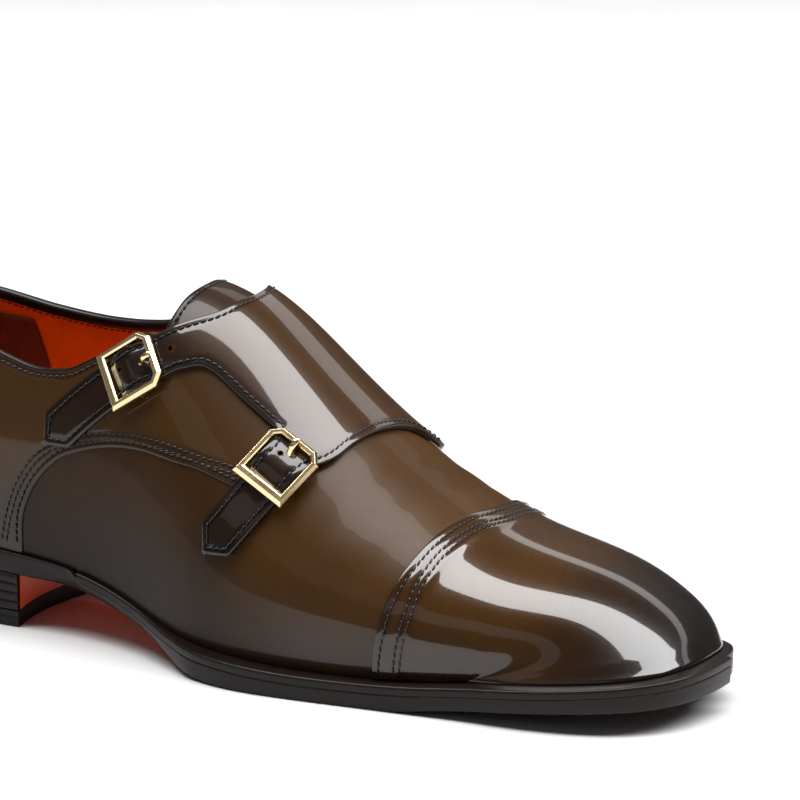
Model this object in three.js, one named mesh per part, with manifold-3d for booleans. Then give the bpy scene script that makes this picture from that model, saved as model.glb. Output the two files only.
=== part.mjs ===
// Double monk strap shoe, right foot, men's EU 42. Millimetres, +X to the toe, +Y to the
// inner (medial) side, +Z up. The drawing starts at the heel's back, with the floor at Z = 0.
// One smooth surface, the last, gives the upper. A place on it is a spot { u, v }: u runs
// from the back seam (0) to the toe (1), v from the outer welt crease (-1) over the ridge
// (0) to the inner welt crease (+1). Every leather piece is a patch of it.
import * as THREE from "three";
import { mergeVertices } from "three/addons/utils/BufferGeometryUtils.js";
import Module from "manifold-3d";

const wasm = await Module();
wasm.setup();

// ---------- driving dimensions ----------
const WALL = 2; // upper leather with its lining
const GAP = 0.3; // between pieces that touch
const OVERLAY = { cap: 1, apron: 1.9 }; // how thick the overlays are
const OVERLAY_BED = { cap: 0.4, apron: 0.5 }; // how far their flat facets stay off the upper's
const TONGUE = { thickness: 2, front: 176, girth: 0.55, bed: 0.7 };
const THROAT = { start: 125, end: 147, girth: 0.48 }; // rounded front of the opening
const WELT = {
  thickness: 2.6, inside: 5, start: 96, steps: { side: 22, toe: 12 },
  bedRoom: 0.4, bedSteps: { side: 19, toe: 14 }, // its steps fall between the sole's own
};
const HEEL = { breast: 74, hollow: 6, topPiece: 5.4, taper: 1.2 };
const INSOLE = { thickness: 2.8, inset: 5.4 };
const STRAP_WIDTH = 13.2;
const BUCKLE = {
  along: 20, across: 19.4, corner: 3, bar: 2.6, height: 2.2, lift: 2.8, bevel: 0.5,
  centreBar: 0.9, centreHeight: 1.3, strapRise: 2,
};
const PRONG = { width: 2, thickness: 1.2 };
const SLOT = { length: 7, width: 3, shift: -0.7 }; // the strap's hole for the prong

// ---------- the last ----------
// One row a section: x and seat place its foot on the welt crease, tilt leans it forward
// about that foot, reach is its height, and the rest are half widths: at the crease, on the
// wall, at the shoulder and beside the ridge, outer (lateral) then inner (medial) side.
// ridge is how far the ridge stands to the inner side, wall and shoulder are shares of reach.
const LAST_COLUMNS = [
  "x", "seat", "tilt", "reach", "creaseOut", "creaseIn", "wallOut", "wallIn",
  "shoulderOut", "shoulderIn", "topOut", "topIn", "ridge", "wall", "shoulder",
];
const LAST_ROWS = [
  [4, 29, 0, 92, 0, 0, 0, 0, 0, 0, 0, 0, 0, 0.26, 0.7],
  [4, 29, 0, 92, 12, 12, 14, 14, 11, 11, 5, 5, 0, 0.26, 0.7],
  [12, 28.6, 0, 92, 26, 26, 29, 29, 24, 24, 11, 11, 0, 0.26, 0.7],
  [38, 27.2, 0, 91, 32, 31.5, 35, 35, 28, 28, 15, 15, 0, 0.26, 0.7],
  [72, 25, 0, 90, 31.5, 30, 35, 35, 28, 28, 15, 15, 1, 0.26, 0.7],
  [98, 22.2, 0, 92.5, 31, 27, 35, 33, 29, 29, 15, 16, 3, 0.26, 0.7],
  [120, 16.2, 0, 99.5, 35, 26, 38, 33, 31, 31, 16, 18, 4, 0.26, 0.7],
  [142, 9.8, 0, 97, 44, 31, 45, 37, 35, 33, 18, 19, 5, 0.26, 0.7],
  [162, 8.8, 0, 81, 48.5, 38, 50.5, 43, 38, 36, 19, 19, 5, 0.26, 0.7],
  [184, 7.6, 0, 64, 47.5, 45.5, 51.5, 49, 41, 39, 19, 18.5, 5, 0.26, 0.71],
  [206, 7.6, 0, 49.5, 44.5, 47.5, 48.5, 50, 41.5, 41.5, 19, 20, 5, 0.26, 0.73],
  [226, 8.6, 0, 38, 40.5, 46, 43.5, 47.5, 38, 41, 18, 20, 5.5, 0.28, 0.74],
  [238.5, 10.2, 0, 32.8, 38, 43, 39, 45, 35.2, 39.2, 17, 19.5, 6, 0.28, 0.74],
  [238.5, 10.2, 25, 33, 38, 43, 38.5, 44.5, 34.2, 38.7, 17, 19, 6, 0.28, 0.74],
  [238.5, 10.2, 48, 38.8, 38, 43, 37.5, 44, 32.2, 37.2, 16, 18, 6.5, 0.28, 0.75],
  [238.5, 10.2, 66, 47, 38, 43, 36.5, 43, 29.8, 32, 15.5, 17.5, 7, 0.28, 0.76],
  [238.5, 10.2, 77, 54, 38, 43, 37, 40, 30, 27, 15.5, 15.5, 7.5, 0.28, 0.79],
  [238.5, 10.2, 84.4, 57, 38, 43, 38.5, 36.5, 32.5, 25, 17.5, 9, 7, 0.28, 0.84],
];
// The back seam's curve, as shifts along x at the crease, wall, shoulder and top, and how
// much of it the first rows take.
const BACK_CURVE = { crease: 1.5, wall: -2, shoulder: 3, top: 8 };
const BACK_SHARE = [1, 1, 1, 0.5];
const TOE_FAN = 0.74; // from this u on, the sections fan about the toe's foot points
const RIM = 0.985; // past this u or v, a place counts as at the welt crease

function lastRow(cells, index) {
  const row = Object.fromEntries(LAST_COLUMNS.map((name, k) => [name, cells[k]]));
  const lean = THREE.MathUtils.degToRad(row.tilt);
  const back = BACK_SHARE[index] ?? 0;
  const point = (y, share, level) => new THREE.Vector3(
    row.x + share * row.reach * Math.sin(lean) + back * BACK_CURVE[level],
    y,
    row.seat + share * row.reach * Math.cos(lean),
  );
  return [
    point(-row.creaseOut, 0, "crease"),
    point(-row.wallOut, row.wall, "wall"),
    point(-row.shoulderOut, row.shoulder, "shoulder"),
    point(row.ridge - row.topOut, 1, "top"),
    point(row.ridge, 1, "top"),
    point(row.ridge + row.topIn, 1, "top"),
    point(row.shoulderIn, row.shoulder, "shoulder"),
    point(row.wallIn, row.wall, "wall"),
    point(row.creaseIn, 0, "crease"),
  ];
}
const LAST_NET = LAST_ROWS.map(lastRow);

// The four weights of a clamped, even cubic B-spline with `count` control points.
function splineWeights(count, t) {
  const spans = count - 3;
  const span = Math.min(Math.floor(t * spans), spans - 1);
  const knot = (i) => THREE.MathUtils.clamp((span + i) / spans, 0, 1);
  const weights = [1, 0, 0, 0];
  for (let degree = 1; degree <= 3; degree++) {
    let carried = 0;
    for (let k = 0; k < degree; k++) {
      const right = knot(k + 1);
      const left = knot(k + 1 - degree);
      const share = weights[k] / (right - left);
      weights[k] = carried + (right - t) * share;
      carried = (t - left) * share;
    }
    weights[degree] = carried;
  }
  return { first: span, weights };
}

function lastPoint(u, v) {
  const along = splineWeights(LAST_NET.length, u);
  const around = splineWeights(LAST_NET[0].length, (v + 1) / 2);
  const point = new THREE.Vector3();
  for (let i = 0; i < 4; i++) {
    for (let j = 0; j < 4; j++) {
      const control = LAST_NET[along.first + i][around.first + j];
      point.addScaledVector(control, along.weights[i] * around.weights[j]);
    }
  }
  return point;
}

function lastNormal(u, v) {
  const step = 0.002;
  const uSafe = THREE.MathUtils.clamp(u, step, 1 - step);
  const vSafe = THREE.MathUtils.clamp(v, -1 + 2 * step, 1 - 2 * step);
  const alongU = lastPoint(uSafe + step, vSafe).sub(lastPoint(uSafe - step, vSafe));
  const alongV = lastPoint(uSafe, vSafe + step).sub(lastPoint(uSafe, vSafe - step));
  const normal = alongU.cross(alongV);
  if (Math.max(Math.abs(v), u) > RIM) normal.setZ(0); // upright at the welt crease
  return normal.normalize();
}

// The value in low..high where a rising function passes target.
function solve(target, low, high, value) {
  let [from, to] = [low, high];
  for (let k = 0; k < 30; k++) {
    const middle = (from + to) / 2;
    if (value(middle) < target) from = middle;
    else to = middle;
  }
  return (from + to) / 2;
}

const stationAt = (x, v) => solve(x, 0, TOE_FAN, (u) => lastPoint(u, v).x);

// The spot on the outer side that shows at x, z in the side view.
function sideSpot(x, z) {
  let spot = { u: 0, v: -0.6 };
  for (let k = 0; k < 3; k++) {
    const u = stationAt(x, spot.v);
    spot = { u, v: solve(z, -1, -0.1, (v) => lastPoint(u, v).z) };
  }
  return spot;
}

// ---------- small tools ----------
// Reads a table's column at x, on a smooth curve that never overshoots its rows.
function readTable(rows, column, x) {
  const last = rows.length - 1;
  const slope = (k) => (rows[k + 1][column] - rows[k][column]) / (rows[k + 1].x - rows[k].x);
  const tangent = (k) => {
    if (k === 0) return slope(0);
    if (k === last) return slope(last - 1);
    const [before, after] = [slope(k - 1), slope(k)];
    return before * after <= 0 ? 0 : (2 * before * after) / (before + after);
  };
  if (x <= rows[0].x) return rows[0][column];
  if (x >= rows[last].x) return rows[last][column];
  const k = rows.findIndex((row, index) => x < rows[index + 1].x);
  const width = rows[k + 1].x - rows[k].x;
  const t = (x - rows[k].x) / width;
  return (
    rows[k][column] * (1 + 2 * t) * (1 - t) ** 2 +
    rows[k + 1][column] * t * t * (3 - 2 * t) +
    tangent(k) * width * t * (1 - t) ** 2 -
    tangent(k + 1) * width * t * t * (1 - t)
  );
}

const steps = (from, to, count) =>
  Array.from({ length: count + 1 }, (_, k) => from + ((to - from) * k) / count);

const mix = THREE.MathUtils.lerp;

// A closed body from points and triangles, turned so that its faces point out.
function closedBody(points, triangles) {
  const volume = triangles.reduce(
    (sum, [a, b, c]) => sum + points[a].dot(points[b].clone().cross(points[c])),
    0,
  );
  const faces = volume < 0 ? triangles.map(([a, b, c]) => [a, c, b]) : triangles;
  const body = new THREE.BufferGeometry();
  body.setAttribute("position", new THREE.Float32BufferAttribute(points.flatMap((p) => p.toArray()), 3));
  body.setIndex(faces.flat());
  return body;
}

// A sheet of leather over part of the last: quads of spots, with the heights of its under
// and upper face above the last at each spot. Quads that share spots are joined.
function leatherSheet(quads, under, over) {
  const upperFace = [];
  const underFace = [];
  const known = new Map();
  const vertex = (spot) => {
    const base = lastPoint(spot.u, spot.v);
    const key = base.toArray().map((c) => Math.round(c * 1000) + 0).join();
    if (!known.has(key)) {
      const normal = lastNormal(spot.u, spot.v);
      known.set(key, upperFace.length);
      upperFace.push(base.clone().addScaledVector(normal, over(spot)));
      underFace.push(base.clone().addScaledVector(normal, under(spot)));
    }
    return known.get(key);
  };
  const triangles = [];
  for (const quad of quads) {
    const [a, b, c, d] = quad.map(vertex);
    for (const face of [[a, b, c], [a, c, d]]) {
      if (new Set(face).size === 3) triangles.push(face);
    }
  }
  const edges = new Set(triangles.flatMap(([a, b, c]) => [`${a},${b}`, `${b},${c}`, `${c},${a}`]));
  const count = upperFace.length;
  const walls = [];
  for (const edge of edges) {
    const [a, b] = edge.split(",").map(Number);
    if (!edges.has(`${b},${a}`)) walls.push([b, a, a + count], [b, a + count, b + count]);
  }
  const back = triangles.map(([a, b, c]) => [a + count, c + count, b + count]);
  return closedBody([...upperFace, ...underFace], [...triangles, ...back, ...walls]);
}

// The quads between neighbouring rows of spots. Spots with v falling along a row and u
// rising from row to row, or both the other way, keep one turning sense.
function quadsBetween(rows) {
  const quads = [];
  for (let i = 0; i + 1 < rows.length; i++) {
    for (let j = 0; j + 1 < rows[i].length; j++) {
      quads.push([rows[i][j], rows[i + 1][j], rows[i + 1][j + 1], rows[i][j + 1]]);
    }
  }
  return quads;
}

// A cap for a loop that mirrors itself, by strips from side to side.
function stripCap(loop) {
  const count = loop.length;
  return steps(0, count / 2 - 1, count / 2 - 1).flatMap((i) => {
    const mate = (count - i) % count;
    const nextMate = count - i - 1;
    return [[i, i + 1, nextMate], [i, nextMate, mate]].filter((face) => new Set(face).size === 3);
  });
}

// A cap for a loop with a hollow in it.
const hollowCap = (loop) => THREE.ShapeUtils.triangulateShape(
  loop.map((point) => new THREE.Vector2(point.x, point.y)), [],
);

// Closed loops of equal count, one above the other, capped at both ends.
function stackedLoops(loops, cap = stripCap) {
  const count = loops[0].length;
  const points = loops.flat();
  const top = count * (loops.length - 1);
  const triangles = cap(loops[0]).flatMap(([a, b, c]) => [[a + top, b + top, c + top], [a, c, b]]);
  for (let level = 0; level + 1 < loops.length; level++) {
    const base = level * count;
    for (let i = 0; i < count; i++) {
      const next = (i + 1) % count;
      triangles.push([base + i, base + next, base + count + next]);
      triangles.push([base + i, base + count + next, base + count + i]);
    }
  }
  return closedBody(points, triangles);
}

// Sections of equal count, joined in a row and closed at both ends.
function loft(sections) {
  const count = sections[0].length;
  const points = sections.flat();
  const triangles = [];
  for (let level = 0; level + 1 < sections.length; level++) {
    const base = level * count;
    for (let i = 0; i < count; i++) {
      const next = (i + 1) % count;
      triangles.push([base + i, base + next, base + count + next]);
      triangles.push([base + i, base + count + next, base + count + i]);
    }
  }
  const end = points.length - count;
  for (let i = 1; i + 1 < count; i++) {
    triangles.push([0, i + 1, i], [end, end + i, end + i + 1]);
  }
  return closedBody(points, triangles);
}

function toSolid(geometry) {
  const plain = geometry.clone();
  plain.deleteAttribute("normal");
  plain.deleteAttribute("uv");
  const merged = mergeVertices(plain, 1e-4);
  return new wasm.Manifold(new wasm.Mesh({
    numProp: 3,
    vertProperties: new Float32Array(merged.getAttribute("position").array),
    triVerts: new Uint32Array(merged.getIndex().array),
  }));
}

function fromSolid(solid) {
  const mesh = solid.getMesh();
  const geometry = new THREE.BufferGeometry();
  geometry.setAttribute("position", new THREE.BufferAttribute(mesh.vertProperties, 3));
  geometry.setIndex(new THREE.BufferAttribute(mesh.triVerts, 1));
  return geometry;
}

// ---------- upper ----------
// The topline: how far round the last, in v, the upper reaches on each side.
const TOPLINE = [
  { x: 10, outer: 0.54, inner: 0.54 },
  { x: 30, outer: 0.57, inner: 0.57 },
  { x: 52, outer: 0.61, inner: 0.592 },
  { x: 68, outer: 0.645, inner: 0.596 },
  { x: 80, outer: 0.659, inner: 0.592 },
  { x: 90, outer: 0.65, inner: 0.583 },
  { x: 99, outer: 0.615, inner: 0.568 },
  { x: 105, outer: 0.583, inner: 0.553 },
  { x: 113, outer: 0.53, inner: 0.525 },
  { x: THROAT.start, outer: THROAT.girth, inner: THROAT.girth },
];
const UPPER_ROWS = { heel: 17, throat: 6, forefoot: 23 };
const UPPER_COLUMNS = 13;

function toplineGirth(side, u) {
  const x = lastPoint(u, side * 0.58).x;
  if (x <= THROAT.start) return readTable(TOPLINE, side < 0 ? "outer" : "inner", x);
  const share = (x - THROAT.start) / (THROAT.end - THROAT.start);
  return THROAT.girth * Math.sqrt(Math.max(0, 1 - share * share));
}

function makeUpper() {
  const throatX = steps(0, Math.PI / 2, UPPER_ROWS.throat).map(
    (angle) => mix(THROAT.start, THROAT.end, Math.sin(angle)),
  );
  const throatU = throatX.map((x) => stationAt(x, 0));
  const stations = [
    ...steps(0, throatU[0], UPPER_ROWS.heel),
    ...throatU.slice(1, -1),
    ...steps(throatU.at(-1), 1, UPPER_ROWS.forefoot),
  ];
  const quads = [];
  for (const side of [-1, 1]) {
    const rows = stations.map((u) => {
      const top = u < throatU.at(-1) ? toplineGirth(side, u) : 0;
      return steps(1, top, UPPER_COLUMNS).map((girth) => ({ u, v: side * girth }));
    });
    const half = quadsBetween(rows);
    quads.push(...(side < 0 ? half : half.map((quad) => quad.toReversed())));
  }
  return leatherSheet(quads, () => -WALL, () => 0);
}

// ---------- toe cap ----------
// Its rear edge, from the outer crease over the ridge to the inner crease.
const CAP_EDGE = [
  { x: -1, rear: 211.5 }, { x: -0.8, rear: 214.6 }, { x: -0.54, rear: 219 }, { x: -0.2, rear: 222 },
  { x: 0.1, rear: 223 }, { x: 0.4, rear: 221.5 }, { x: 0.7, rear: 217 }, { x: 1, rear: 212.5 },
];
const CAP_HEM = { girth: 0.994, toe: 0.998 }; // where it stops above the welt
const CAP_GRID = { around: 24, along: 14 };

function makeToeCap() {
  const rows = steps(-CAP_HEM.girth, CAP_HEM.girth, CAP_GRID.around).map((v) => {
    const rear = stationAt(readTable(CAP_EDGE, "rear", v), v);
    return steps(CAP_HEM.toe, rear, CAP_GRID.along).map((u) => ({ u, v }));
  });
  return leatherSheet(
    quadsBetween(rows), () => OVERLAY_BED.cap, () => OVERLAY_BED.cap + OVERLAY.cap,
  );
}

// ---------- straps and apron ----------
// Each strap's centre line in the side view, from the apron through its buckle to the tip.
const STRAPS = {
  upper: { root: [128.8, 93.6], buckle: [116.4, 86.4], tip: [86.3, 61.4], rootWidth: 13.6 },
  lower: { root: [174.6, 68.8], buckle: [171.6, 63.4], tip: [153.8, 38.2], rootWidth: 17.5 },
};
const STRAP_POINT = 6.5; // length of the pointed end
const STRAP_COLUMNS = 26;
const BULGE = 7; // half the length over which a strap rises over the centre bar
const APRON_TOP = [
  { x: -0.494, edge: 124.7 }, { x: -0.44, edge: 130.3 }, { x: -0.37, edge: 135.3 },
  { x: -0.28, edge: 138.5 }, { x: -0.1, edge: 140 }, { x: 0.09, edge: 138.7 },
  { x: 0.28, edge: 134 }, { x: 0.45, edge: 125 }, { x: 0.56, edge: 112 }, { x: 0.66, edge: 100 },
];
const APRON_FRONT = [
  { x: -0.475, edge: 182 }, { x: -0.4, edge: 184.2 }, { x: -0.28, edge: 185.6 },
  { x: 0.05, edge: 186.9 }, { x: 0.2, edge: 188.5 }, { x: 0.3, edge: 191.5 },
  { x: 0.38, edge: 193.5 }, { x: 0.5, edge: 189 }, { x: 0.66, edge: 172 },
];
const APRON_INNER = 0.66; // the girth where the apron is stitched down on the inner side
const APRON_OUTER = -0.33; // where its lines start to turn into the straps
const APRON_SKIVE = { from: 0.42, left: 0.3 }; // it thins out from here to that share
const APRON_GRID = { across: 13, join: 4, strap: 3, notch: 5 };
const NOTCH = { top: 0.3, bottom: 0.68 }; // the shares of the apron's edge between the straps

// A place on a strap: t runs 0..1 from the root to the tip, side -1..1 across it.
function strapFrame(strap, t) {
  const [p0, p1, p2] = [strap.root, strap.buckle, strap.tip].map((p) => new THREE.Vector2(...p));
  const bend = p0.distanceTo(p1) / (p0.distanceTo(p1) + p1.distanceTo(p2));
  const control = p1.clone()
    .addScaledVector(p0, -((1 - bend) ** 2))
    .addScaledVector(p2, -(bend ** 2))
    .divideScalar(2 * bend * (1 - bend));
  const at = (s) => new THREE.QuadraticBezierCurve(p0, control, p2).getPoint(s);
  const [here, ahead] = [at(t), at(t + 0.01)];
  const spot = sideSpot(here.x, here.y);
  const next = sideSpot(ahead.x, ahead.y);
  const origin = lastPoint(spot.u, spot.v);
  const normal = lastNormal(spot.u, spot.v);
  const heading = lastPoint(next.u, next.v).sub(origin).projectOnPlane(normal).normalize();
  const across = normal.clone().cross(heading);
  return { origin, normal, heading, across, buckleShare: bend };
}

function strapSpot(strap, t, side, width) {
  const { origin, across } = strapFrame(strap, t);
  const edge = origin.addScaledVector(across, (side * width) / 2);
  return sideSpot(edge.x, edge.z);
}

function strapLength(strap) {
  let length = 0;
  let before = strapFrame(strap, 0).origin;
  for (const t of steps(0, 1, 20).slice(1)) {
    const here = strapFrame(strap, t).origin;
    length += here.distanceTo(before);
    before = here;
  }
  return length;
}

// Rows of spots down one strap, each with its distance from the buckle's centre bar.
function strapRows(strap) {
  const length = strapLength(strap);
  const buckle = strapFrame(strap, 0).buckleShare;
  const neck = buckle / 2;
  return steps(0, 1, STRAP_COLUMNS).map((t) => {
    const width = mix(strap.rootWidth, STRAP_WIDTH, Math.min(1, t / neck));
    const point = Math.min(1, ((1 - t) * length) / STRAP_POINT);
    const narrowed = width * Math.max(0.1, point);
    return steps(-1, 1, APRON_GRID.strap).map((side) => ({
      ...strapSpot(strap, t, side, narrowed),
      bar: (t - buckle) * length,
    }));
  });
}

function makeApron() {
  const upperRows = strapRows(STRAPS.upper);
  const lowerRows = strapRows(STRAPS.lower);
  const root = [...upperRows[0], ...steps(0, 1, APRON_GRID.notch).slice(1, -1).map((share) => {
    const [from, to] = [upperRows[0].at(-1), lowerRows[0][0]];
    return { u: mix(from.u, to.u, share), v: mix(from.v, to.v, share) };
  }), ...lowerRows[0]];
  const shares = [
    ...steps(0, NOTCH.top, APRON_GRID.strap),
    ...steps(NOTCH.top, NOTCH.bottom, APRON_GRID.notch).slice(1, -1),
    ...steps(NOTCH.bottom, 1, APRON_GRID.strap),
  ];
  const main = steps(APRON_INNER, APRON_OUTER, APRON_GRID.across).map((v) => {
    const top = readTable(APRON_TOP, "edge", v);
    const front = readTable(APRON_FRONT, "edge", v);
    return shares.map((share) => ({ u: stationAt(mix(top, front, share), v), v }));
  });
  const join = steps(0, 1, APRON_GRID.join).slice(1).map((share) => main.at(-1).map((from, k) => ({
    u: mix(from.u, root[k].u, share), v: mix(from.v, root[k].v, share), bar: root[k].bar,
  })));
  const quads = [
    ...quadsBetween([...main, ...join]),
    ...quadsBetween(upperRows),
    ...quadsBetween(lowerRows),
  ].map((quad) => quad.toReversed());
  const lift = (spot) => {
    const away = Math.abs(spot.bar ?? BULGE);
    return away < BULGE ? BUCKLE.strapRise * Math.cos((Math.PI / 2) * (away / BULGE)) ** 2 : 0;
  };
  const skive = (spot) => {
    const share = THREE.MathUtils.smoothstep(spot.v, APRON_SKIVE.from, APRON_INNER);
    return mix(1, APRON_SKIVE.left, share);
  };
  const sheet = leatherSheet(
    quads,
    (spot) => OVERLAY_BED.apron + lift(spot),
    (spot) => OVERLAY_BED.apron + lift(spot) + OVERLAY.apron * skive(spot),
  );
  let solid = toSolid(sheet);
  for (const strap of Object.values(STRAPS)) {
    const slot = new THREE.BoxGeometry(SLOT.length, SLOT.width, 20);
    slot.translate(SLOT.shift, 0, 0);
    slot.applyMatrix4(buckleMatrix(strap));
    solid = solid.subtract(toSolid(slot));
  }
  return fromSolid(solid);
}

// ---------- tongue ----------
// Its top edge, by girth.
const TONGUE_TOP = [
  { x: -0.55, edge: 126 }, { x: -0.5, edge: 121.3 }, { x: -0.36, edge: 123 },
  { x: -0.17, edge: 124.5 }, { x: 0.1, edge: 122.5 }, { x: 0.3, edge: 120 },
  { x: 0.5, edge: 119 }, { x: 0.55, edge: 124 },
];
const TONGUE_GRID = { across: 14, along: 9 };

function makeTongue() {
  const rows = steps(-TONGUE.girth, TONGUE.girth, TONGUE_GRID.across).map((v) => {
    const top = stationAt(readTable(TONGUE_TOP, "edge", v), v);
    const front = stationAt(TONGUE.front, v);
    return steps(front, top, TONGUE_GRID.along).map((u) => ({ u, v }));
  });
  const over = -WALL - TONGUE.bed;
  return leatherSheet(quadsBetween(rows), () => over - TONGUE.thickness, () => over);
}

// ---------- buckles ----------
// From a buckle's own place (x down the strap, y across it, z out of the shoe) to the shoe's.
function buckleMatrix(strap) {
  const { buckleShare } = strapFrame(strap, 0);
  const { origin, normal, heading, across } = strapFrame(strap, buckleShare);
  return new THREE.Matrix4().makeBasis(heading, across, normal).setPosition(origin);
}

// A rectangle whose two corners towards the strap's root are clipped.
function clippedRectangle(path, along, across, corner) {
  const [a, b] = [along / 2, across / 2];
  path.moveTo(-a + corner, -b);
  path.lineTo(a, -b);
  path.lineTo(a, b);
  path.lineTo(-a + corner, b);
  path.lineTo(-a, b - corner);
  path.lineTo(-a, -b + corner);
  path.closePath();
  return path;
}

function makeBuckle(strap) {
  const { bevel } = BUCKLE;
  const outline = clippedRectangle(
    new THREE.Shape(), BUCKLE.along - 2 * bevel, BUCKLE.across - 2 * bevel, BUCKLE.corner,
  );
  outline.holes.push(clippedRectangle(
    new THREE.Path(),
    BUCKLE.along - 2 * BUCKLE.bar + 2 * bevel,
    BUCKLE.across - 2 * BUCKLE.bar + 2 * bevel,
    1,
  ));
  const ring = new THREE.ExtrudeGeometry(outline, {
    depth: BUCKLE.height - 2 * bevel,
    bevelThickness: bevel,
    bevelSize: bevel,
    bevelSegments: 1,
  });
  ring.translate(0, 0, BUCKLE.lift + bevel);
  const bar = new THREE.CylinderGeometry(
    BUCKLE.centreBar, BUCKLE.centreBar, BUCKLE.across - BUCKLE.bar, 10,
  );
  bar.translate(0, 0, BUCKLE.centreHeight);
  let frame = toSolid(ring).add(toSolid(bar));
  const drop = BUCKLE.lift + bevel - BUCKLE.centreHeight + BUCKLE.centreBar;
  for (const side of [-1, 1]) {
    const post = new THREE.BoxGeometry(BUCKLE.centreBar * 2.6, BUCKLE.bar * 0.8, drop);
    const out = (BUCKLE.across - BUCKLE.bar) / 2;
    post.translate(0, side * out, BUCKLE.centreHeight - BUCKLE.centreBar + drop / 2);
    frame = frame.add(toSolid(post));
  }
  return fromSolid(frame).applyMatrix4(buckleMatrix(strap));
}

// The prong's side view: from behind the centre bar, over it and up onto the frame's bar.
const PRONG_PATH = [
  { x: 1.9, z: 1.1 }, { x: 1.5, z: 2.7 }, { x: 0, z: 3.4 }, { x: -2, z: 4.2 }, { x: -4, z: 5.3 },
  { x: -6, z: 5.95 }, { x: -9.6, z: 5.95 },
];

function makeProng(strap) {
  const curve = new THREE.CatmullRomCurve3(PRONG_PATH.map((p) => new THREE.Vector3(p.x, 0, p.z)));
  const sections = steps(0, 1, 12).map((t) => {
    const centre = curve.getPoint(t);
    const heading = curve.getTangent(t);
    const up = new THREE.Vector3(-heading.z, 0, heading.x);
    const side = new THREE.Vector3(0, 1, 0);
    return steps(0, 2 * Math.PI, 8).slice(0, 8).map((angle) => centre.clone()
      .addScaledVector(side, (PRONG.width / 2) * Math.cos(angle))
      .addScaledVector(up, (PRONG.thickness / 2) * Math.sin(angle)));
  });
  return loft(sections).applyMatrix4(buckleMatrix(strap));
}

// ---------- bottom: outsole, welt, insole and heel ----------
// How far the sole's edge stands out of the welt crease, and the height of its tread.
const SOLE_MARGIN = [
  { x: 0, outer: 2.2, inner: 2.2 }, { x: 40, outer: 2, inner: 2 }, { x: 80, outer: 1.8, inner: 1.6 },
  { x: 120, outer: 1.6, inner: 1.4 }, { x: 140, outer: 3.2, inner: 1.8 },
  { x: 155, outer: 5.6, inner: 2.8 }, { x: 170, outer: 6.3, inner: 3.6 },
  { x: 200, outer: 5.8, inner: 4.4 }, { x: 240, outer: 7.3, inner: 5.6 }, { x: 290, outer: 6.4, inner: 4 },
];
const TREAD = [
  { x: 0, z: 21.6 }, { x: 38, z: 19.9 }, { x: 74, z: 17.4 }, { x: 98, z: 14.4 }, { x: 120, z: 8.6 },
  { x: 142, z: 2.6 }, { x: 160, z: 0.4 }, { x: 176, z: 0 }, { x: 214, z: 0 }, { x: 238, z: 2.8 },
  { x: 270, z: 5.8 }, { x: 304, z: 8.1 },
];
const OUTLINE_STEPS = { side: 32, toe: 12 };
const SIDE_END = 0.7; // where the crease's side steps stop, a little before the fan's foot
const FAN_FOOT = 0.97; // and where, round the toe, the next ones start

// The welt crease as one half loop of spots, from some u on to the toe's middle.
const creaseSpots = (from, count) => [
  ...steps(from, SIDE_END, count.side).map((u) => ({ u, v: 1 })),
  ...steps(FAN_FOOT, 0, count.toe).map((v) => ({ u: 1, v })),
];
const WHOLE_CREASE = creaseSpots(0, OUTLINE_STEPS);

const toeRise = lastPoint(1, 0).sub(lastPoint(TOE_FAN, 1));

function creaseHeight(x) {
  const foot = lastPoint(TOE_FAN, 1);
  if (x >= foot.x) return foot.z + ((x - foot.x) * toeRise.z) / toeRise.x;
  return lastPoint(stationAt(Math.max(x, lastPoint(0, 1).x), 1), 1).z;
}

// Half of a loop round the crease, on side -1 (outer) or 1, moved out by offset(x, side).
function halfLoop(side, offset, spots = WHOLE_CREASE) {
  const crease = spots.map(({ u, v }) => lastPoint(u, side * v));
  const mirrored = crease[1].clone().multiply(new THREE.Vector3(1, -1, 1));
  const first = spots[0].u === 0 ? mirrored : crease[0];
  return crease.map((point, k) => {
    const before = crease[k - 1] ?? first;
    const after = crease[k + 1] ?? lastPoint(1, -side * spots.at(-2).v);
    const along = after.clone().sub(before).setZ(0).normalize();
    const out = new THREE.Vector2(along.y, -along.x).multiplyScalar(-side);
    const distance = offset(point.x, side);
    return new THREE.Vector2(point.x + out.x * distance, point.y + out.y * distance);
  });
}

// A whole loop from the back along the outer side to the toe and back along the inner side.
function outline(offset) {
  const outer = halfLoop(-1, offset);
  const inner = halfLoop(1, offset);
  return [...outer, ...inner.slice(1, -1).reverse()];
}

const atHeight = (loop, height) => loop.map((p) => new THREE.Vector3(p.x, p.y, height(p.x)));
const soleMargin = (x, side) => readTable(SOLE_MARGIN, side < 0 ? "outer" : "inner", x);
const treadHeight = (x) => readTable(TREAD, "z", x);
const seatHeight = (x) => creaseHeight(x) - GAP;

// The welt as a bar round the forefoot, with room on each side where it is bedded, and past
// the sole's edge and top there.
function weltBar(count, room = 0, past = 0) {
  const spots = creaseSpots(stationAt(WELT.start - room, 1), count);
  const edge = (offset) => [
    ...halfLoop(-1, offset, spots),
    ...halfLoop(1, offset, spots).slice(0, -1).reverse(),
  ];
  const outer = edge((x, side) => soleMargin(x, side) + past);
  const inner = edge(() => -WELT.inside - room);
  const corner = (p, height) => new THREE.Vector3(p.x, p.y, seatHeight(p.x) + height);
  return loft(outer.map((o, k) => [
    corner(o, past),
    corner(o, -WELT.thickness - room),
    corner(inner[k], -WELT.thickness - room),
    corner(inner[k], past),
  ]));
}

function makeOutsole() {
  const loop = outline(soleMargin);
  const plate = stackedLoops([atHeight(loop, treadHeight), atHeight(loop, seatHeight)]);
  const bed = weltBar(WELT.bedSteps, WELT.bedRoom, 3);
  return fromSolid(toSolid(plate).subtract(toSolid(bed)));
}

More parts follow.
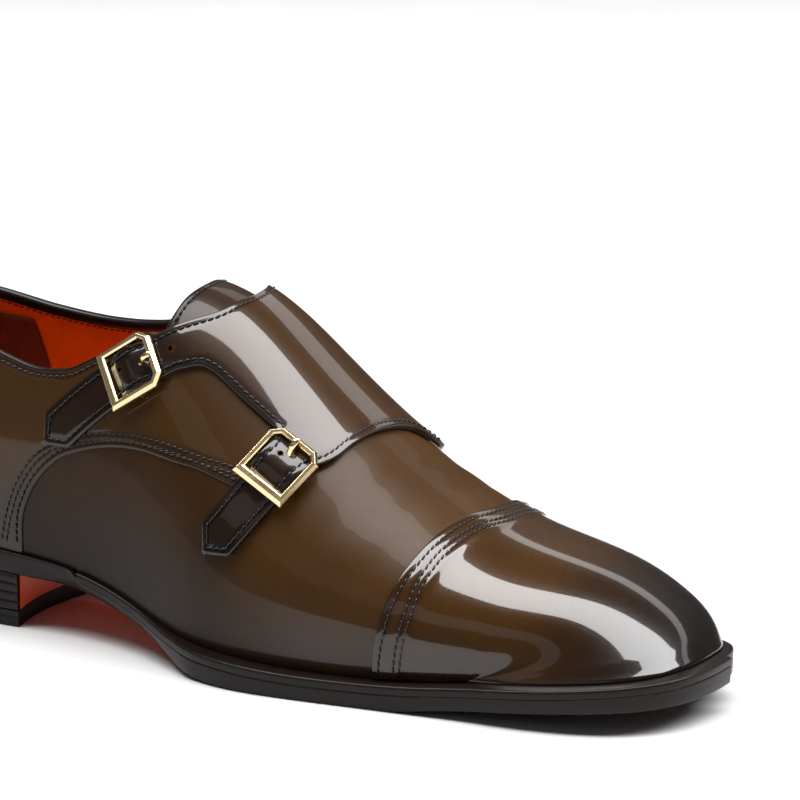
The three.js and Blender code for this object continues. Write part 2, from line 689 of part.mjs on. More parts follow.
function makeInsole() {
  const loop = outline(() => -INSOLE.inset);
  const under = (x) => creaseHeight(x);
  return stackedLoops([atHeight(loop, under), atHeight(loop, (x) => under(x) + INSOLE.thickness)]);
}

// The heel's loop: the sole's edge back of the breast, then the hollow breast itself.
function heelLoop(inset) {
  const breastSteps = 6;
  const back = (side) => halfLoop(side, (x, s) => soleMargin(x, s) - inset)
    .filter((p) => p.x < HEEL.breast - 3);
  const corner = (side) => {
    const next = halfLoop(side, (x, s) => soleMargin(x, s) - inset).find((p) => p.x >= HEEL.breast - 3);
    return new THREE.Vector2(HEEL.breast, next.y);
  };
  const breast = (side) => steps(1, 0, breastSteps).slice(1).map((share) => new THREE.Vector2(
    HEEL.breast - HEEL.hollow * (1 - share * share), corner(side).y * share,
  ));
  const half = (side) => [...back(side), corner(side), ...breast(side)];
  return [...half(-1), ...half(1).slice(1, -1).reverse()];
}

function makeHeelTopPiece() {
  const inset = HEEL.taper;
  return stackedLoops([
    atHeight(heelLoop(inset), () => 0),
    atHeight(heelLoop(inset - 0.3), () => HEEL.topPiece),
  ], hollowCap);
}

function makeHeelStack() {
  return stackedLoops([
    atHeight(heelLoop(HEEL.taper - 0.4), () => HEEL.topPiece + GAP),
    atHeight(heelLoop(0), (x) => treadHeight(x) - GAP),
  ], hollowCap);
}

// ---------- materials and assembly ----------
const leather = (color, roughness) => new THREE.MeshStandardMaterial({ color, roughness, metalness: 0 });
const MATERIALS = {
  upper: leather(0x5c4123, 0.4),
  apron: leather(0x6a4a26, 0.3),
  cap: leather(0x4a3118, 0.3),
  tongue: leather(0x5a3a1e, 0.5),
  insole: leather(0x8a4a1c, 0.7),
  sole: leather(0x2a1710, 0.5),
  topPiece: leather(0x1a1412, 0.8),
  brass: new THREE.MeshStandardMaterial({ color: 0xe3c282, roughness: 0.25, metalness: 1 }),
};

const shoe = new THREE.Group();
const soleEdge = new THREE.Box2().setFromPoints(outline(soleMargin));
const middle = soleEdge.getCenter(new THREE.Vector2());
shoe.position.set(-middle.x, -middle.y, 0); // the origin is on the floor, under the sole's middle

function addPiece(name, geometry, material) {
  const flat = geometry.index ? geometry.toNonIndexed() : geometry;
  flat.computeVertexNormals();
  const mesh = new THREE.Mesh(flat, material);
  mesh.name = name;
  shoe.add(mesh);
}

addPiece("upper", makeUpper(), MATERIALS.upper);
addPiece("toe_cap", makeToeCap(), MATERIALS.cap);
addPiece("strap_apron", makeApron(), MATERIALS.apron);
addPiece("tongue", makeTongue(), MATERIALS.tongue);
addPiece("insole", makeInsole(), MATERIALS.insole);
addPiece("welt", weltBar(WELT.steps), MATERIALS.sole);
addPiece("outsole", makeOutsole(), MATERIALS.sole);
addPiece("heel_stack", makeHeelStack(), MATERIALS.sole);
addPiece("heel_top_piece", makeHeelTopPiece(), MATERIALS.topPiece);
for (const [name, strap] of Object.entries(STRAPS)) {
  addPiece(`buckle_frame_${name}`, makeBuckle(strap), MATERIALS.brass);
  addPiece(`buckle_prong_${name}`, makeProng(strap), MATERIALS.brass);
}

export default shoe;
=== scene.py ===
"""Double monk strap shoe, right foot: its leather, stitching, brass and sole.

The shapes are worked out in millimetres, on the same last as the part, and each piece is
placed in the frame in metres. A spot on the last is (u, v): u runs from the back seam (0) to
the toe (1), v from the outer welt crease (-1) over the ridge (0) to the inner crease (+1).
"""
import math

import bpy
import numpy as np
from mathutils import Matrix, Vector
from mathutils.kdtree import KDTree


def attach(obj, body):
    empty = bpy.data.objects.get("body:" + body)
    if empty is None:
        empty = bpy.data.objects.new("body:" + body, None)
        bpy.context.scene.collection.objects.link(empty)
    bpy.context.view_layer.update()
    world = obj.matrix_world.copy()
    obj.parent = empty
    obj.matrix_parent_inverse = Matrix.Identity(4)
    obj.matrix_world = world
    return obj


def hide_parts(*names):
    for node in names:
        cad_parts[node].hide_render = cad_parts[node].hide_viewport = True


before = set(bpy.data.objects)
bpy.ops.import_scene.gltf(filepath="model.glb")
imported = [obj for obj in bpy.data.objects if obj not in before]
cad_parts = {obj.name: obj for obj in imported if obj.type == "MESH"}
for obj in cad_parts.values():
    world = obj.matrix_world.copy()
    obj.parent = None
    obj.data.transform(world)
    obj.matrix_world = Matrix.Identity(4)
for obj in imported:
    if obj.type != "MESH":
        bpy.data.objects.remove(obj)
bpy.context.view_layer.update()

bl_info = {
    "name": "Double Monk Strap Shoe",
    "version": (1, 0, 0),
    "blender": (4, 5, 0),
    "location": "View3D > Sidebar > Shoe",
    "description": "Builds the leather, stitching, buckles and sole of a double monk strap shoe",
    "category": "Add Mesh",
}

MM = 0.001
BODY = "root"
CORNER = 50  # edges sharper than this many degrees stay sharp on the sole and heel
HOLE_CORNER = 40
SIDES = (-1, 1)

# ---------- the last ----------
# One row a section: x and seat place its foot on the welt crease, tilt leans it forward
# about that foot, reach is its height, and the rest are half widths: at the crease, on the
# wall, at the shoulder and beside the ridge, outer (lateral) then inner (medial) side.
# ridge is how far the ridge stands to the inner side, wall and shoulder are shares of reach.
LAST_COLUMNS = (
    "x", "seat", "tilt", "reach", "crease_out", "crease_in", "wall_out", "wall_in",
    "shoulder_out", "shoulder_in", "top_out", "top_in", "ridge", "wall", "shoulder",
)
LAST_ROWS = (
    (4, 29, 0, 92, 0, 0, 0, 0, 0, 0, 0, 0, 0, 0.26, 0.7),
    (4, 29, 0, 92, 12, 12, 14, 14, 11, 11, 5, 5, 0, 0.26, 0.7),
    (12, 28.6, 0, 92, 26, 26, 29, 29, 24, 24, 11, 11, 0, 0.26, 0.7),
    (38, 27.2, 0, 91, 32, 31.5, 35, 35, 28, 28, 15, 15, 0, 0.26, 0.7),
    (72, 25, 0, 90, 31.5, 30, 35, 35, 28, 28, 15, 15, 1, 0.26, 0.7),
    (98, 22.2, 0, 92.5, 31, 27, 35, 33, 29, 29, 15, 16, 3, 0.26, 0.7),
    (120, 16.2, 0, 99.5, 35, 26, 38, 33, 31, 31, 16, 18, 4, 0.26, 0.7),
    (142, 9.8, 0, 97, 44, 31, 45, 37, 35, 33, 18, 19, 5, 0.26, 0.7),
    (162, 8.8, 0, 81, 48.5, 38, 50.5, 43, 38, 36, 19, 19, 5, 0.26, 0.7),
    (184, 7.6, 0, 64, 47.5, 45.5, 51.5, 49, 41, 39, 19, 18.5, 5, 0.26, 0.71),
    (206, 7.6, 0, 49.5, 44.5, 47.5, 48.5, 50, 41.5, 41.5, 19, 20, 5, 0.26, 0.73),
    (226, 8.6, 0, 38, 40.5, 46, 43.5, 47.5, 38, 41, 18, 20, 5.5, 0.28, 0.74),
    (238.5, 10.2, 0, 32.8, 38, 43, 39, 45, 35.2, 39.2, 17, 19.5, 6, 0.28, 0.74),
    (238.5, 10.2, 25, 33, 38, 43, 38.5, 44.5, 34.2, 38.7, 17, 19, 6, 0.28, 0.74),
    (238.5, 10.2, 48, 38.8, 38, 43, 37.5, 44, 32.2, 37.2, 16, 18, 6.5, 0.28, 0.75),
    (238.5, 10.2, 66, 47, 38, 43, 36.5, 43, 29.8, 32, 15.5, 17.5, 7, 0.28, 0.76),
    (238.5, 10.2, 77, 54, 38, 43, 37, 40, 30, 27, 15.5, 15.5, 7.5, 0.28, 0.79),
    (238.5, 10.2, 84.4, 57, 38, 43, 38.5, 36.5, 32.5, 25, 17.5, 9, 7, 0.28, 0.84),
)
BACK_CURVE = {"crease": 1.5, "wall": -2, "shoulder": 3, "top": 8}
BACK_SHARE = {0: 1, 1: 1, 2: 1, 3: 0.5}
TOE_FAN = 0.74  # the last u that is looked up by x: the sections fan out round the toe beyond
RIM = 0.985  # past this u or v, by the welt crease, the outward direction is kept level


def last_row(index, cells):
    """The nine control points of one section."""
    row = dict(zip(LAST_COLUMNS, cells))
    lean = math.radians(row["tilt"])
    back = BACK_SHARE.get(index, 0)

    def point(y, share, level):
        return (
            row["x"] + share * row["reach"] * math.sin(lean) + back * BACK_CURVE[level],
            y,
            row["seat"] + share * row["reach"] * math.cos(lean),
        )

    return [
        point(-row["crease_out"], 0, "crease"),
        point(-row["wall_out"], row["wall"], "wall"),
        point(-row["shoulder_out"], row["shoulder"], "shoulder"),
        point(row["ridge"] - row["top_out"], 1, "top"),
        point(row["ridge"], 1, "top"),
        point(row["ridge"] + row["top_in"], 1, "top"),
        point(row["shoulder_in"], row["shoulder"], "shoulder"),
        point(row["wall_in"], row["wall"], "wall"),
        point(row["crease_in"], 0, "crease"),
    ]


LAST_NET = np.array([last_row(index, cells) for index, cells in enumerate(LAST_ROWS)], float)


def spline_weights(count, t):
    """The first control point and the four weights of a clamped, even cubic B-spline."""
    spans = count - 3
    t = np.clip(t, 0, 1)
    span = np.minimum((t * spans).astype(int), spans - 1)
    knot = [np.clip((span + i) / spans, 0, 1) for i in range(-2, 4)]
    weights = [np.ones_like(t), np.zeros_like(t), np.zeros_like(t), np.zeros_like(t)]
    for degree in (1, 2, 3):
        carried = np.zeros_like(t)
        for k in range(degree):
            right, left = knot[k + 3], knot[k + 3 - degree]
            share = weights[k] / (right - left)
            weights[k] = carried + (right - t) * share
            carried = (t - left) * share
        weights[degree] = carried
    return span, np.stack(weights, -1)


def last_points(u, v):
    """Points on the last, in millimetres, for arrays of u and v."""
    u, v = np.broadcast_arrays(np.asarray(u, float), np.asarray(v, float))
    row, along = spline_weights(LAST_NET.shape[0], u)
    column, around = spline_weights(LAST_NET.shape[1], (v + 1) / 2)
    rows = row[..., None] + np.arange(4)
    columns = column[..., None] + np.arange(4)
    net = LAST_NET[rows[..., :, None], columns[..., None, :]]
    return np.einsum("...i,...j,...ijk->...k", along, around, net)


def unit(vectors):
    return vectors / np.maximum(np.linalg.norm(vectors, axis=-1, keepdims=True), 1e-12)


def last_normals(u, v):
    """The outward direction of the last. It's kept level by the welt crease."""
    step = 0.002
    u, v = np.broadcast_arrays(np.asarray(u, float), np.asarray(v, float))
    us = np.clip(u, step, 1 - step)
    vs = np.clip(v, -1 + 2 * step, 1 - 2 * step)
    along_u = last_points(us + step, vs) - last_points(us - step, vs)
    along_v = last_points(us, vs + step) - last_points(us, vs - step)
    normal = np.cross(along_u, along_v)
    normal[..., 2] = np.where(np.maximum(abs(v), u) > RIM, 0, normal[..., 2])
    return unit(normal)


def solve(target, low, high, value):
    """Where in low..high a rising function passes target, for arrays."""
    low = np.full(np.shape(target), float(low))
    high = np.full(np.shape(target), float(high))
    for _ in range(30):
        middle = (low + high) / 2
        below = value(middle) < target
        low = np.where(below, middle, low)
        high = np.where(below, high, middle)
    return (low + high) / 2


def station_at(x, v):
    """The u at which the last reaches x, along v."""
    x, v = np.broadcast_arrays(np.asarray(x, float), np.asarray(v, float))
    return solve(x, 0, TOE_FAN, lambda u: last_points(u, v)[..., 0])


def spots_at(x, v):
    """Spots (u, v) from arrays of x and v."""
    x, v = np.broadcast_arrays(np.asarray(x, float), np.asarray(v, float))
    return np.stack([station_at(x, v), v], -1)


def side_spots(x, z):
    """The spots on the outer side that show at x, z in the side view."""
    x, z = np.broadcast_arrays(np.asarray(x, float), np.asarray(z, float))
    v = np.full(x.shape, -0.6)
    for _ in range(3):
        u = station_at(x, v)
        v = solve(z, -1, -0.1, lambda trial: last_points(u, trial)[..., 2])
    return np.stack([u, v], -1)


# ---------- small tools ----------
def read_table(rows, x):
    """Reads a table of (x, value) rows on a smooth curve that never overshoots them."""
    table = np.array(rows, float)
    xs, ys = table[:, 0], table[:, 1]
    widths = np.diff(xs)
    slopes = np.diff(ys) / widths
    product = slopes[:-1] * slopes[1:]
    total = np.where(product > 0, slopes[:-1] + slopes[1:], 1)
    inner = np.where(product > 0, 2 * product / total, 0)
    tangents = np.concatenate([slopes[:1], inner, slopes[-1:]])
    x = np.clip(x, xs[0], xs[-1])
    k = np.clip(np.searchsorted(xs, x, side="right") - 1, 0, len(xs) - 2)
    t = (x - xs[k]) / widths[k]
    return (
        ys[k] * (1 + 2 * t) * (1 - t) ** 2
        + ys[k + 1] * t * t * (3 - 2 * t)
        + tangents[k] * widths[k] * t * (1 - t) ** 2
        - tangents[k + 1] * widths[k] * t * t * (1 - t)
    )


def mix(a, b, share):
    return a + (b - a) * share


def smooth(low, high, x):
    t = np.clip((x - low) / (high - low), 0, 1)
    return t * t * (3 - 2 * t)


def bell(x, centre, width):
    return np.exp(-(((x - centre) / width) ** 2))


def nearest_distance(points, targets):
    """How far each point lies from the nearest target."""
    tree = KDTree(len(targets))
    for k, target in enumerate(targets):
        tree.insert(target, k)
    tree.balance()
    return np.array([tree.find(point)[2] for point in points])


def arc_lengths(points):
    return np.concatenate([[0], np.cumsum(np.linalg.norm(np.diff(points, axis=0), axis=1))])


def resample(values, lengths, positions):
    """Rows of values read at other places along their path."""
    return np.stack([np.interp(positions, lengths, column) for column in values.T], -1)


def curve_spots(rows, count):
    """A smooth line of spots through rows of (x, v), with even steps."""
    spots = spots_at(*np.array(rows, float).T)
    points = last_points(spots[:, 0], spots[:, 1])
    lengths = arc_lengths(points)
    positions = np.linspace(0, lengths[-1], count)
    u = read_table(np.stack([lengths, spots[:, 0]], -1), positions)
    v = read_table(np.stack([lengths, spots[:, 1]], -1), positions)
    return np.stack([u, v], -1)


# ---------- mesh building ----------
def outline(offset, side_steps=110, toe_steps=46):
    """The loop round the welt crease, moved out by offset(x, side): outer side, then inner.

    Rows of (x, y), from the back along the outer side to the toe and back along the inner.
    """
    side_end, toe_start = 0.7, 0.97
    halves = []
    for side in SIDES:
        u = np.concatenate([np.linspace(0, side_end, side_steps + 1), np.ones(toe_steps + 1)])
        v = np.concatenate([np.ones(side_steps + 1), np.linspace(toe_start, 0, toe_steps + 1)])
        crease = last_points(u, side * v)
        before = np.vstack([crease[1] * (1, -1, 1), crease[:-1]])
        after = np.vstack([crease[1:], last_points(1, -side * toe_start / toe_steps)])
        along = after - before
        along[:, 2] = 0
        along = unit(along)
        out = np.stack([along[:, 1], -along[:, 0]], -1) * -side
        distance = offset(crease[:, 0], side)
        halves.append(crease[:, :2] + out * np.reshape(distance, (-1, 1)))
    return np.vstack([halves[0], halves[1][1:-1][::-1]])


SOLE_MARGIN = {  # how far the sole stands out of the welt crease on each side: (x, margin)
    -1: ((0, 2.2), (40, 2), (80, 1.8), (120, 1.6), (140, 3.2), (155, 5.6), (170, 6.3),
         (200, 5.8), (240, 7.3), (290, 6.4)),
    1: ((0, 2.2), (40, 2), (80, 1.6), (120, 1.4), (140, 1.8), (155, 2.8), (170, 3.6),
        (200, 4.4), (240, 5.6), (290, 4)),
}


def sole_margin(x, side):
    """How far the sole's edge stands out of the welt crease."""
    return read_table(SOLE_MARGIN[side], x)


SOLE_LOOP = outline(sole_margin)
ORIGIN = np.append((SOLE_LOOP.min(0) + SOLE_LOOP.max(0)) / 2, 0)


def to_frame(points):
    """From the shoe's millimetres to the frame's metres."""
    return (np.asarray(points, float) - ORIGIN) * MM


def new_object(name, points, faces):
    """An object in the scene from points in millimetres and faces."""
    mesh = bpy.data.meshes.new(name)
    mesh.from_pydata(to_frame(points).tolist(), [], [list(map(int, face)) for face in faces])
    mesh.validate()
    made = bpy.data.objects.new(name, mesh)
    bpy.context.scene.collection.objects.link(made)
    return made


def new_piece(name, points, faces, material, replaces=(), attributes=None, smooth_angle=None):
    """A piece riding on the shoe's one body.

    attributes holds what the material reads, by name: a number, or one for each point.
    """
    piece = new_object(name, points, faces)
    mesh = piece.data
    for key, values in (attributes or {}).items():
        attribute = mesh.attributes.new(key, "FLOAT", "POINT")
        attribute.data.foreach_set("value", np.full(len(points), values, np.float32))
    mesh.shade_smooth()
    if smooth_angle is not None:
        mesh.set_sharp_from_angle(angle=math.radians(smooth_angle))
    mesh.materials.append(material)
    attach(piece, BODY)
    if replaces:
        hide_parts(*replaces)
    return piece


def weld(grids):
    """One net from grids of (u, v, rise): its places and its quads, turned to face out."""
    places, quads, start = [], [], 0
    for grid in grids:
        rows, columns = grid.shape[:2]
        index = start + np.arange(rows * columns).reshape(rows, columns)
        quad = np.stack([index[:-1, :-1], index[1:, :-1], index[1:, 1:], index[:-1, 1:]], -1)
        middle = grid[rows // 2: rows // 2 + 2, columns // 2: columns // 2 + 2]
        corner = last_points(middle[..., 0], middle[..., 1])
        turn = np.cross(corner[1, 0] - corner[0, 0], corner[0, 1] - corner[0, 0])
        normal = last_normals(middle[0, 0, 0], middle[0, 0, 1])
        quad = quad.reshape(-1, 4)
        quads.append(quad if turn @ normal > 0 else quad[:, ::-1])
        places.append(grid.reshape(-1, 3))
        start += rows * columns
    places = np.vstack(places)
    points = last_points(places[:, 0], places[:, 1])
    _, first, inverse = np.unique(
        np.round(points, 3) + 0.0, axis=0, return_index=True, return_inverse=True
    )
    faces = []
    for face in inverse.ravel()[np.vstack(quads)]:
        corners = [c for k, c in enumerate(face) if c != face[k - 1]]
        if len(corners) > 2:
            faces.append(corners)
    return places[first], faces


def rims(faces):
    """The open edges of a net, chained into loops of points."""
    directed = {(a, b) for face in faces for a, b in zip(face, face[1:] + face[:1])}
    follow = {a: b for a, b in directed if (b, a) not in directed}
    loops = []
    while follow:
        first, here = follow.popitem()
        loop = [first]
        while here != first:
            loop.append(here)
            here = follow.pop(here)
        loops.append(np.array(loop))
    return loops


class Net:
    """A patch of the last: its places, faces, rims and directions out of its edge."""

    def __init__(self, grids):
        grids = [
            grid if grid.shape[-1] == 3 else np.concatenate([grid, np.zeros(grid.shape[:-1] + (1,))], -1)
            for grid in grids
        ]
        self.places, self.faces = weld(grids)
        self.u, self.v, self.rise = self.places.T
        self.base = last_points(self.u, self.v)
        self.normal = last_normals(self.u, self.v)
        self.loops = rims(self.faces)
        self.out = np.zeros_like(self.base)
        for loop in self.loops:
            here = self.base[loop]
            ahead = unit(np.roll(here, -1, 0) - here)
            behind = np.roll(ahead, 1, 0)
            sideways = np.cross(ahead, self.normal[loop]) + np.cross(behind, self.normal[loop])
            self.out[loop] = unit(sideways)

    def edge_points(self, is_edge):
        """Closely spaced points along the cut edges that is_edge(points, spots) picks."""
        found = []
        for loop in self.loops:
            here, ahead = self.base[loop], self.base[np.roll(loop, -1)]
            chosen = is_edge(self.places[loop])
            chosen = chosen & np.roll(chosen, -1)
            for share in np.arange(0, 1, 0.2):
                found.append(mix(here, ahead, share)[chosen])
        return np.vstack(found)

    def edge_distance(self, is_edge):
        """How far each point lies from those cut edges."""
        return nearest_distance(self.base, self.edge_points(is_edge))

    def runs(self, is_edge):
        """Stretches of the rims that is_edge picks, each an array of points in order."""
        found = []
        for loop in self.loops:
            chosen = is_edge(self.places[loop])
            if chosen.all():
                found.append(np.append(loop, loop[0]))
                continue
            start = int(np.argmin(chosen))
            loop, chosen = np.roll(loop, -start), np.roll(chosen, -start)
            edges = np.flatnonzero(np.diff(np.concatenate([[0], chosen.astype(int), [0]])))
            found += [loop[a:b] for a, b in zip(edges[::2], edges[1::2]) if b - a > 2]
        return found


EDGE_TURNS = (0.5, 1.0, 1.45)  # how far round a cut edge its rings of points lie, in radians
EDGE_FOOT = 0.9  # how far the underside's edge stands out, as a share of the edge's radius


def leather_layer(net, bed, top, roll):
    """Points and faces of a closed sheet with rounded edges, and the place behind each point.

    bed and top are heights above the last at each place, roll the radius of its edge.
    """
    count = len(net.base)
    points = [net.base + net.normal * top[:, None]]
    behind = [np.arange(count)]
    faces = [list(face) for face in net.faces]
    under = np.full(count, -1)
    made = count
    for loop in net.loops:
        thick = (top - bed)[loop]
        previous = loop
        rings = [(math.sin(turn), roll * (1 - math.cos(turn))) for turn in EDGE_TURNS]
        for out, drop in rings + [(EDGE_FOOT, thick)]:
            fall = np.minimum(drop, thick)
            points.append(
                net.base[loop] + net.normal[loop] * (top[loop] - fall)[:, None]
                + net.out[loop] * (roll * out)
            )
            behind.append(loop)
            ring = made + np.arange(len(loop))
            made += len(loop)
            faces += np.stack([np.roll(previous, -1), previous, ring, np.roll(ring, -1)], -1).tolist()
            previous = ring
        under[loop] = previous
    inner = np.flatnonzero(under < 0)
    under[inner] = made + np.arange(len(inner))
    points.append(net.base[inner] + net.normal[inner] * bed[inner][:, None])
    behind.append(inner)
    faces += [[under[corner] for corner in reversed(face)] for face in net.faces]
    return np.vstack(points), faces, np.concatenate(behind)


def ruled_patch(near_line, far_line, near, far, middle):
    """A grid between two lines of spots, with rows at set distances from both lines."""
    low, high = near_line[:, None, :], far_line[:, None, :]
    step = 0.01
    most = 0.3  # the largest share of the way across that the rows near a line take

    def speed(from_line, to_line):
        ahead = mix(from_line, to_line, step)
        return np.linalg.norm(
            last_points(ahead[:, 0], ahead[:, 1]) - last_points(from_line[:, 0], from_line[:, 1]), axis=1
        ) / step

    def shares_at(distances, from_line, to_line):
        longest = most * np.array(distances) / distances[-1]
        return np.minimum(np.outer(1 / speed(from_line, to_line), distances), longest)

    start = shares_at(near, near_line, far_line)
    end = 1 - shares_at(far, far_line, near_line)
    between = np.linspace(0, 1, middle + 1)[1:-1]
    body = mix(start[:, -1:], end[:, -1:], between[None, :])
    shares = np.concatenate([start, body, end[:, ::-1]], 1)[..., None]
    return mix(low, high, shares)


NEAR_EDGE = (0, 0.5, 1, 1.4, 1.8, 2.2, 2.8, 3.6)  # where rows lie by a stitched edge
PLAIN_EDGE = (0, 1.2)  # and by a hidden or plain one

# ---------- stitching ----------
# A stitch's shape: how many rings and sides, half its length and the distance over which its
# heading is taken as shares of the pitch, and the rest as shares of the thread's radius.
STITCH = {
    "rings": 7, "sides": 6, "reach": 0.46, "probe": 0.3, "lift": 0.55, "dive": 1.5, "taper": 0.35,
}


def stitch_mesh(paths, pitch, radius, slant):
    """Points and faces of rows of thread, from (points, normals) paths on the leather."""
    places, headings, normals = [], [], []
    for points, up in paths:
        lengths = arc_lengths(points)
        count = max(2, int(lengths[-1] / pitch))
        where = (np.arange(count) + 0.5) * lengths[-1] / count
        ahead = resample(points, lengths, where + pitch * STITCH["probe"])
        behind = resample(points, lengths, where - pitch * STITCH["probe"])
        places.append((ahead + behind) / 2)
        headings.append(unit(ahead - behind))
        normals.append(unit(resample(up, lengths, where)))
    places, headings, normals = np.vstack(places), np.vstack(headings), np.vstack(normals)
    across = unit(np.cross(normals, headings))
    heading = headings * math.cos(slant) + across * math.sin(slant)
    across = np.cross(normals, heading)
    along = np.linspace(-1, 1, STITCH["rings"])
    angles = np.linspace(0, 2 * math.pi, STITCH["sides"] + 1)[:-1]
    reach = along * pitch * STITCH["reach"]
    height = radius * (STITCH["lift"] - STITCH["dive"] * along ** 4)
    girth = radius * (1 - STITCH["taper"] * along ** 2)
    points = (
        places[:, None, None]
        + heading[:, None, None] * reach[None, :, None, None]
        + normals[:, None, None] * (height[:, None] + girth[:, None] * np.sin(angles))[None, ..., None]
        + across[:, None, None] * (girth[:, None] * np.cos(angles))[None, ..., None]
    )
    rows, ring = len(along), len(angles)
    index = np.arange(rows * ring).reshape(rows, ring)
    following = np.roll(index, -1, 1)
    side = np.stack([index[:-1], index[1:], following[1:], following[:-1]], -1).reshape(-1, 4)
    faces = []
    for k in range(len(places)):
        start = k * rows * ring
        faces += (side + start).tolist()
        faces += [(index[0] + start).tolist(), (index[-1][::-1] + start).tolist()]
    return points.reshape(-1, 3), faces


CLEAR = 0.93  # a stitch this share of the inset from another edge is left out


def row_inside(net, top, is_edge, inset):
    """Stitch paths that run inset inside the cut edges of a layer."""
    edges = net.edge_points(is_edge)
    paths = []
    for run in net.runs(is_edge):
        flat = net.base[run] - net.out[run] * inset
        keep = nearest_distance(flat, edges) > inset * CLEAR
        points = flat + net.normal[run] * top[run][:, None]
        if keep.sum() > 2:
            paths.append((points[keep], net.normal[run][keep]))
    return paths


def row_on_last(rows, height, count=160):
    """A stitch path through rows of (x, v), at a height above the last."""
    spots = curve_spots(rows, count)
    normal = last_normals(spots[:, 0], spots[:, 1])
    return last_points(spots[:, 0], spots[:, 1]) + normal * height, normal


# ---------- materials ----------
class Value:
    """A number that varies over a surface. Expressions on it add Math nodes."""

    def __init__(self, paint, socket):
        self.paint = paint
        self.socket = socket

    def __add__(self, other):
        return self.paint.maths("ADD", self, other)

    def __sub__(self, other):
        return self.paint.maths("SUBTRACT", self, other)

    def __rsub__(self, other):
        return self.paint.maths("SUBTRACT", other, self)

    def __mul__(self, other):
        return self.paint.maths("MULTIPLY", self, other)

    def __pow__(self, other):
        return self.paint.maths("POWER", self, other)

    __radd__ = __add__
    __rmul__ = __mul__


class Paint:
    """A material being mixed, on one Principled shader."""

    def __init__(self, name, **constants):
        self.material = bpy.data.materials.new(name)
        self.material.use_nodes = True
        self.tree = self.material.node_tree
        self.tree.nodes.clear()
        self.shader = self.tree.nodes.new("ShaderNodeBsdfPrincipled")
        output = self.tree.nodes.new("ShaderNodeOutputMaterial")
        self.tree.links.new(self.shader.outputs["BSDF"], output.inputs["Surface"])
        for key, value in constants.items():
            socket = key.replace("_", " ").title().replace("Ior", "IOR")
            self.shader.inputs[socket].default_value = value

    def node(self, kind, settings, inputs):
        """Adds a node: its settings first, then the values or links of its sockets."""
        node = self.tree.nodes.new(kind)
        for key, value in settings.items():
            if key == "stops":
                ramp = node.color_ramp
                while len(ramp.elements) < len(value):
                    ramp.elements.new(1)
                for element, (place, color) in zip(ramp.elements, value):
                    element.position = place
                    element.color = color
            else:
                setattr(node, key, value)
        for key, value in inputs.items():
            if isinstance(value, Value):
                value = value.socket
            if isinstance(value, bpy.types.NodeSocket):
                self.tree.links.new(value, node.inputs[key])
            else:
                node.inputs[key].default_value = value
        return node

    def maths(self, operation, *values):
        node = self.node("ShaderNodeMath", {"operation": operation}, dict(enumerate(values)))
        return Value(self, node.outputs[0])

    def clamp(self, value):
        node = self.node("ShaderNodeClamp", {}, {"Value": value})
        return Value(self, node.outputs[0])

    def stored(self, name):
        """A value kept at the mesh's points."""
        node = self.node("ShaderNodeAttribute", {"attribute_name": name}, {})
        return Value(self, node.outputs["Fac"])

    def place(self, stretch=(1, 1, 1)):
        """Places in the piece's own metres, stretched along the axes."""
        coordinates = self.node("ShaderNodeTexCoord", {}, {})
        scaled = self.node(
            "ShaderNodeVectorMath", {"operation": "MULTIPLY"},
            {0: coordinates.outputs["Object"], 1: stretch},
        )
        return scaled.outputs[0]

    def noise(self, size, detail=3, roughness=0.5, stretch=(1, 1, 1)):
        """Clouds of a size in metres, from 0 to 1."""
        node = self.node(
            "ShaderNodeTexNoise", {},
            {"Vector": self.place(stretch), "Scale": 1 / size, "Detail": detail, "Roughness": roughness},
        )
        return Value(self, node.outputs["Fac"])

    def cells(self, size, feature="F1"):
        node = self.node(
            "ShaderNodeTexVoronoi", {"feature": feature}, {"Vector": self.place(), "Scale": 1 / size}
        )
        return Value(self, node.outputs["Distance"])

    def ramp(self, value, stops):
        node = self.node("ShaderNodeValToRGB", {"stops": stops}, {"Fac": value})
        return node.outputs["Color"]

    def feed(self, name, value):
        socket = value.socket if isinstance(value, Value) else value
        self.tree.links.new(socket, self.shader.inputs[name])

    def bump(self, height, strength, depth):
        """Feeds Normal with a relief: depth is its height in metres."""
        node = self.node(
            "ShaderNodeBump", {}, {"Height": height, "Strength": strength, "Distance": depth}
        )
        self.tree.links.new(node.outputs["Normal"], self.shader.inputs["Normal"])


def tint(color, share=1.0):
    """A colour as four numbers, darkened to a share of itself."""
    return (color[0] * share, color[1] * share, color[2] * share, 1)


def patina_leather(name, light, middle, dark, roughness, coat):
    """Hand-burnished calf: cloudy, darker where the stored shade says, with a fine grain."""
    paint = Paint(name, specular_ior_level=0.16, coat_roughness=0.05, coat_ior=1.5)
    clouds = paint.noise(0.024, 3)
    mottle = paint.noise(0.0035, 4, 0.6)
    shade = paint.clamp(paint.stored("shade") + (clouds - 0.5) * 0.34 + (mottle - 0.5) * 0.1)
    paint.feed("Base Color", paint.ramp(shade, (
        (0.0, tint(light)), (0.42, tint(middle)), (0.8, tint(dark, 1.8)), (1.0, tint(dark)),
    )))
    pores = paint.cells(0.0009)
    grain = paint.noise(0.00045, 3, 0.6)
    paint.feed("Roughness", mottle * 0.1 + (roughness - 0.05))
    paint.feed("Coat Weight", paint.clamp(paint.stored("polish") * coat))
    paint.bump(pores * 0.5 + grain * 0.6 + clouds * 3, 0.45, 0.00006)
    return paint.material


